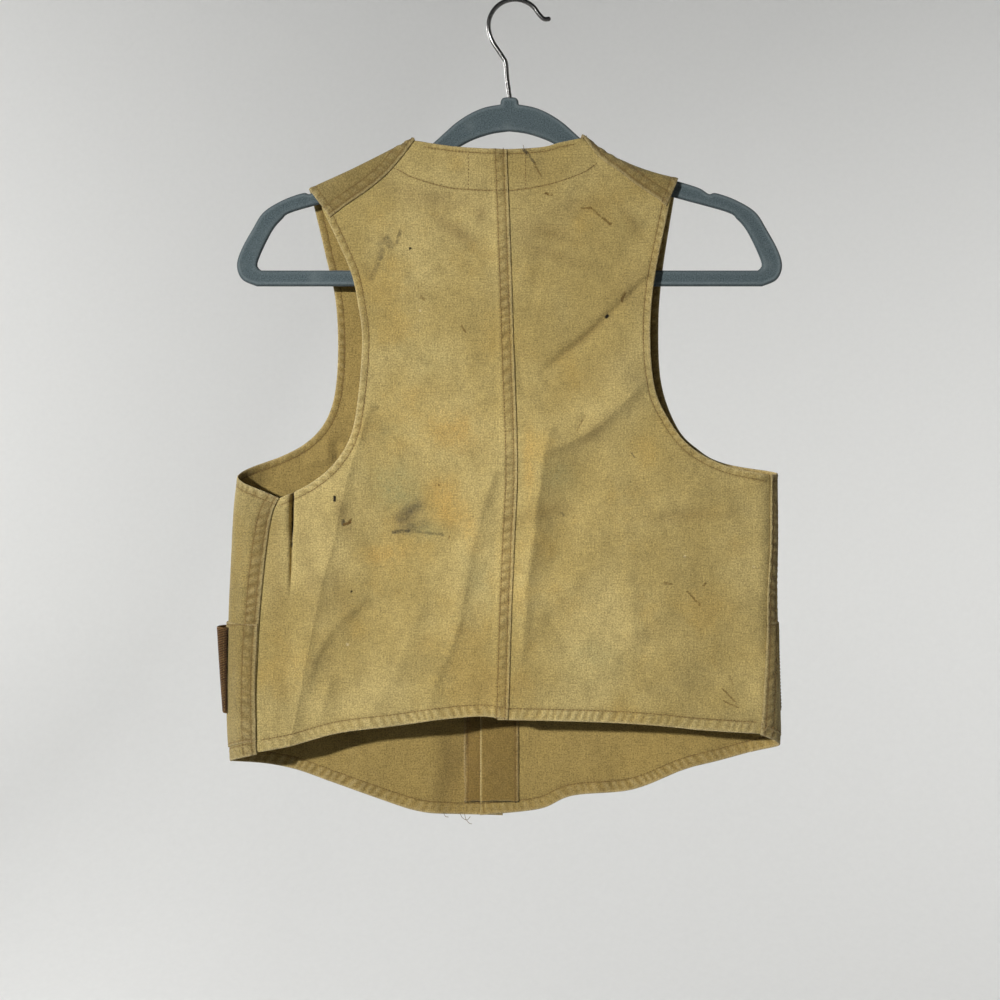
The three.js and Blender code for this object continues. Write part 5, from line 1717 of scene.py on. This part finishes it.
# %% Wire tree
wire_tree, given, add, end = node_tree("wire", {"Radius": "Float", "Round": "Int", "Material": "Material"})
core = add("GeometryNodeMeshToCurve", None, {0: given["Geometry"]})[0]
section = add("GeometryNodeCurvePrimitiveCircle", None, {"Resolution": given["Round"], "Radius": given["Radius"]})[0]
taper = add("GeometryNodeInputNamedAttribute", {"data_type": "FLOAT"}, {"Name": "taper"})[0]
core = add("GeometryNodeSetCurveRadius", None, {"Curve": core, "Radius": taper})[0]
tube = add(
    "GeometryNodeCurveToMesh", None, {"Curve": core, "Profile Curve": section, "Scale": taper, "Fill Caps": True})[0]
tube = add("GeometryNodeRealizeInstances", None, {0: add("GeometryNodeSetShadeSmooth", None, {0: tube})[0]})[0]
end(add("GeometryNodeSetMaterial", None, {"Geometry": tube, "Material": given["Material"]})[0])

# %% Bend the hook
WIRE_RADIUS, HOOK_RADIUS, HOOK_CENTRE_Z = 1.85, 21.75, -19.9
HOOK_STEM = [(-4.4, -79.2), (-4.6, -77), (-6.3, -64.8), (-7.5, -51), (-9.8, -45.8), (-18.2, -33)]
HOOK_TIP = [(21.2, -12), (24.2, -14.3), (29.3, -13.9)]
HOOK_TURN = np.radians(np.linspace(192, 28, 11))
HOOK_STEP, TIP_ROUND, TIP_CLEAR = 1.2, 1.6, 1.8
TIP_STEPS = np.array([[1.6], [1.2], [0.8], [0.45], [0.2], [0]])
CLOSED_END = 0.02


def tapered_lines(name, lines, blunt):
    """Loose lines whose far ends close over a length of blunt, as points and a taper."""
    mesh = line_mesh(name, [(line, 0 * line) for line in lines])
    taper = []
    for line in lines:
        along = np.concatenate([[0], np.cumsum(np.linalg.norm(np.diff(line, axis=0), axis=1))])
        near = np.clip((along[-1] - along) / blunt, CLOSED_END, 1)
        taper.append(np.sqrt(1 - (1 - near) ** 2))
    mesh.attributes.new("taper", "FLOAT", "POINT").data.foreach_set("value", np.concatenate(taper).astype(np.float32))
    return mesh


def steel():
    material, surface, paint = new_finish("bright_steel")
    at = paint.place()
    drawn = paint.noise(paint.vector("MULTIPLY", at, (1.0, 1.0, 0.2)), 900, 3, 0.6)
    dull = paint.noise(at, 120, 3, 0.6)
    # The steel is painted dark grey: a painted reflection of dark surroundings on bright wire
    base = dull.between(0.4, 0.7).tint(colour(120, 119, 117), colour(86, 85, 83))
    finish_with(surface, paint, base, 0.16 + dull * 0.2, paint.bump(drawn, 0.0001, 0.3))
    surface.inputs["Metallic"].default_value = 1.0
    return material


arc = [(HOOK_RADIUS * math.cos(a), HOOK_CENTRE_Z + HOOK_RADIUS * math.sin(a)) for a in HOOK_TURN]
bend = smooth_line([*HOOK_STEM, *arc, *HOOK_TIP], HOOK_STEP)
ahead = (bend[-1] - bend[-2]) / np.linalg.norm(bend[-1] - bend[-2])
tip = bend[-1] - ahead * TIP_STEPS
bend = np.vstack([bend[np.linalg.norm(bend - bend[-1], axis=1) > TIP_CLEAR], tip])
wire = np.column_stack([bend[:, 0], 0 * bend[:, 0], bend[:, 1]])
hook = grown("wire_hook", wire_tree, tapered_lines("hook_line", [wire], TIP_ROUND), {
    "Radius": WIRE_RADIUS * MM, "Round": 20, "Material": steel()})
stands_for(hook, "hanger_hook")

# %% Loose threads
FRAYED = [
    [(-46, 24.5, -670), (-44, 23, -674), (-40, 22, -676), (-37, 22.5, -673)],
    [(-42, 24.5, -671), (-41, 22.5, -675), (-38, 21.5, -678.5), (-35.5, 21, -679)],
    [(-60, 24, -669.5), (-58, 22.5, -673), (-55, 22, -673.5)],
    [(6.5, -9.4, -124), (7, -10.2, -121.5), (6.2, -10.5, -120)],
    [(8, -9.6, -125), (9.4, -10.8, -123.6), (12, -10.6, -123.4)],
]
FRAYED_STEP, FRAYED_END, FRAYED_RADIUS = 0.6, 0.8, 0.22
pale_thread = thread("pale_thread", colour(150, 128, 84), colour(92, 72, 40))
frayed = tapered_lines("thread_lines", [smooth_line(line, FRAYED_STEP) for line in FRAYED], FRAYED_END)
threads = grown("frayed_threads", wire_tree, frayed, {
    "Radius": FRAYED_RADIUS * MM, "Round": 6, "Material": pale_thread})
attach(threads, "root")

# %% [markdown]
# ## Floor, light and camera
# The vest hangs inside a plain pale bay: a floor that sweeps up into a back wall and two side walls,
# with no corner to catch the eye from any side. A small lamp with a narrow beam from the upper left
# models the folds and keeps off the floor, so that little light comes back up under the hem. Weak
# fills keep the other sides readable, and washes light the walls. The camera stands straight behind.

# %% Stage
FLOOR_Z, WALL_Y, SWEEP = -1.9, 3.4, 1.2
BAY_HALF, BAY_OPEN_Y, BAY_CORNER, BAY_HEIGHT = 5.5, -9.0, 2.0, 7.0
CORNER_TURNS = (*np.linspace(180, 91, 13), *np.linspace(89, 0, 13))
SWEEP_TURNS, SWEEP_FOOT = np.linspace(0, math.pi / 2, 17), 0.5


def pale_sweep():
    material, surface, paint = new_finish("pale_sweep")
    at = paint.place()
    tooth = paint.noise(at, 60, 3, 0.6)
    base = tooth.tint(colour(226, 226, 224), colour(232, 232, 230))
    finish_with(surface, paint, base, 0.9 + tooth * 0.05, paint.bump(tooth, 0.001, 0.1))
    return material


def bay_wall(turn):
    """The wall's place in plan and the way in from it, where the wall faces away from a turn in degrees."""
    out = Vector((math.cos(math.radians(turn)), math.sin(math.radians(turn))))
    centre = Vector(((BAY_HALF - BAY_CORNER) * (-1 if turn > 90 else 1), WALL_Y - BAY_CORNER))
    return centre + out * BAY_CORNER, -out


corners = [bay_wall(turn) for turn in CORNER_TURNS]
plan = [(Vector((-BAY_HALF, BAY_OPEN_Y)), corners[0][1]), *corners, (Vector((BAY_HALF, BAY_OPEN_Y)), corners[-1][1])]
section = [(SWEEP * (1 - math.sin(a)), SWEEP * (1 - math.cos(a))) for a in SWEEP_TURNS]
section = [(SWEEP + SWEEP_FOOT, 0), *section, (0, BAY_HEIGHT)]
points = [(*(place + inward * away), FLOOR_Z + up) for place, inward in plan for away, up in section]
wide = len(section)
starts = [k * wide + j for k in range(len(plan) - 1) for j in range(wide - 1)]
faces = [(k, k + wide, k + wide + 1, k + 1) for k in starts]
faces.append(tuple(range(len(points), len(points) + 4)))
floor = ((-BAY_HALF, BAY_OPEN_Y), (BAY_HALF, BAY_OPEN_Y), (BAY_HALF, WALL_Y), (-BAY_HALF, WALL_Y))
points += [(*corner, FLOOR_Z - MM) for corner in floor]
mesh = bpy.data.meshes.new("sweep")
mesh.from_pydata(points, [], faces)
mesh.shade_smooth()
mesh.materials.append(pale_sweep())
sweep = bpy.data.objects.new("sweep", mesh)
bpy.context.scene.collection.objects.link(sweep)
print("bay of", len(faces), "faces")

# %% Lights and surround
VEST = (-0.01, 0, -0.4)
# Each lamp: place, width, power, what it points at, and the spread of its beam in degrees
LAMPS = {
    "key": ((-1.62, -2.3, 0.2), 0.14, 6.4, (0.05, 0, -0.47), 50),
    "fill": ((0.9, -2.7, 0.3), 1.6, 2, VEST, 180),
    "front_fill": ((-1.9, 2.1, 0.5), 0.9, 52, VEST, 180),
    "wall_wash_left": ((-3, 0.5, 0.2), 3.0, 78, (-2.4, WALL_Y, -0.2), 180),
    "wall_wash_right": ((3, 0.5, 0.2), 3.0, 43, (2.4, WALL_Y, -0.2), 180),
    "side_wash_left": ((-3.4, 0.2, 3.2), 2.0, 22, (1.6 * -3.4, 0.2, -0.6), 100),
    "side_wash_right": ((3.4, 0.2, 3.2), 2.0, 22, (1.6 * 3.4, 0.2, -0.6), 100),
}
SURROUND = {"Color": (0.9, 0.93, 1.0, 1), "Strength": 0.045}


def soft_light(name, place, size, power, aim, spread):
    lamp = bpy.data.lights.new(name, "AREA")
    lamp.shape, lamp.size, lamp.energy, lamp.spread = "DISK", size, power, math.radians(spread)
    light = bpy.data.objects.new(name, lamp)
    light.location = place
    light.rotation_euler = (Vector(aim) - Vector(place)).to_track_quat("-Z", "Y").to_euler()
    bpy.context.scene.collection.objects.link(light)


for name, lamp in LAMPS.items():
    soft_light(name, *lamp)
world = bpy.data.worlds.new("surround")
world.use_nodes = True
for key, value in SURROUND.items():
    world.node_tree.nodes["Background"].inputs[key].default_value = value
bpy.context.scene.world = world
bpy.context.scene.view_settings.view_transform = "Standard"
print(len(LAMPS), "lamps")

# %% Camera
CAMERA = (-0.0123, -1.15, -0.4086)
SEEN_AT_HANGER = 0.82
lens = bpy.data.cameras.new("camera")
lens.sensor_width = 36
lens.lens = lens.sensor_width * -CAMERA[1] / SEEN_AT_HANGER
camera = bpy.data.objects.new("camera", lens)
camera.location = CAMERA
camera.rotation_euler = (math.pi / 2, 0, 0)
bpy.context.scene.collection.objects.link(camera)
bpy.context.scene.camera = camera
print("lens", round(lens.lens, 1), "mm")
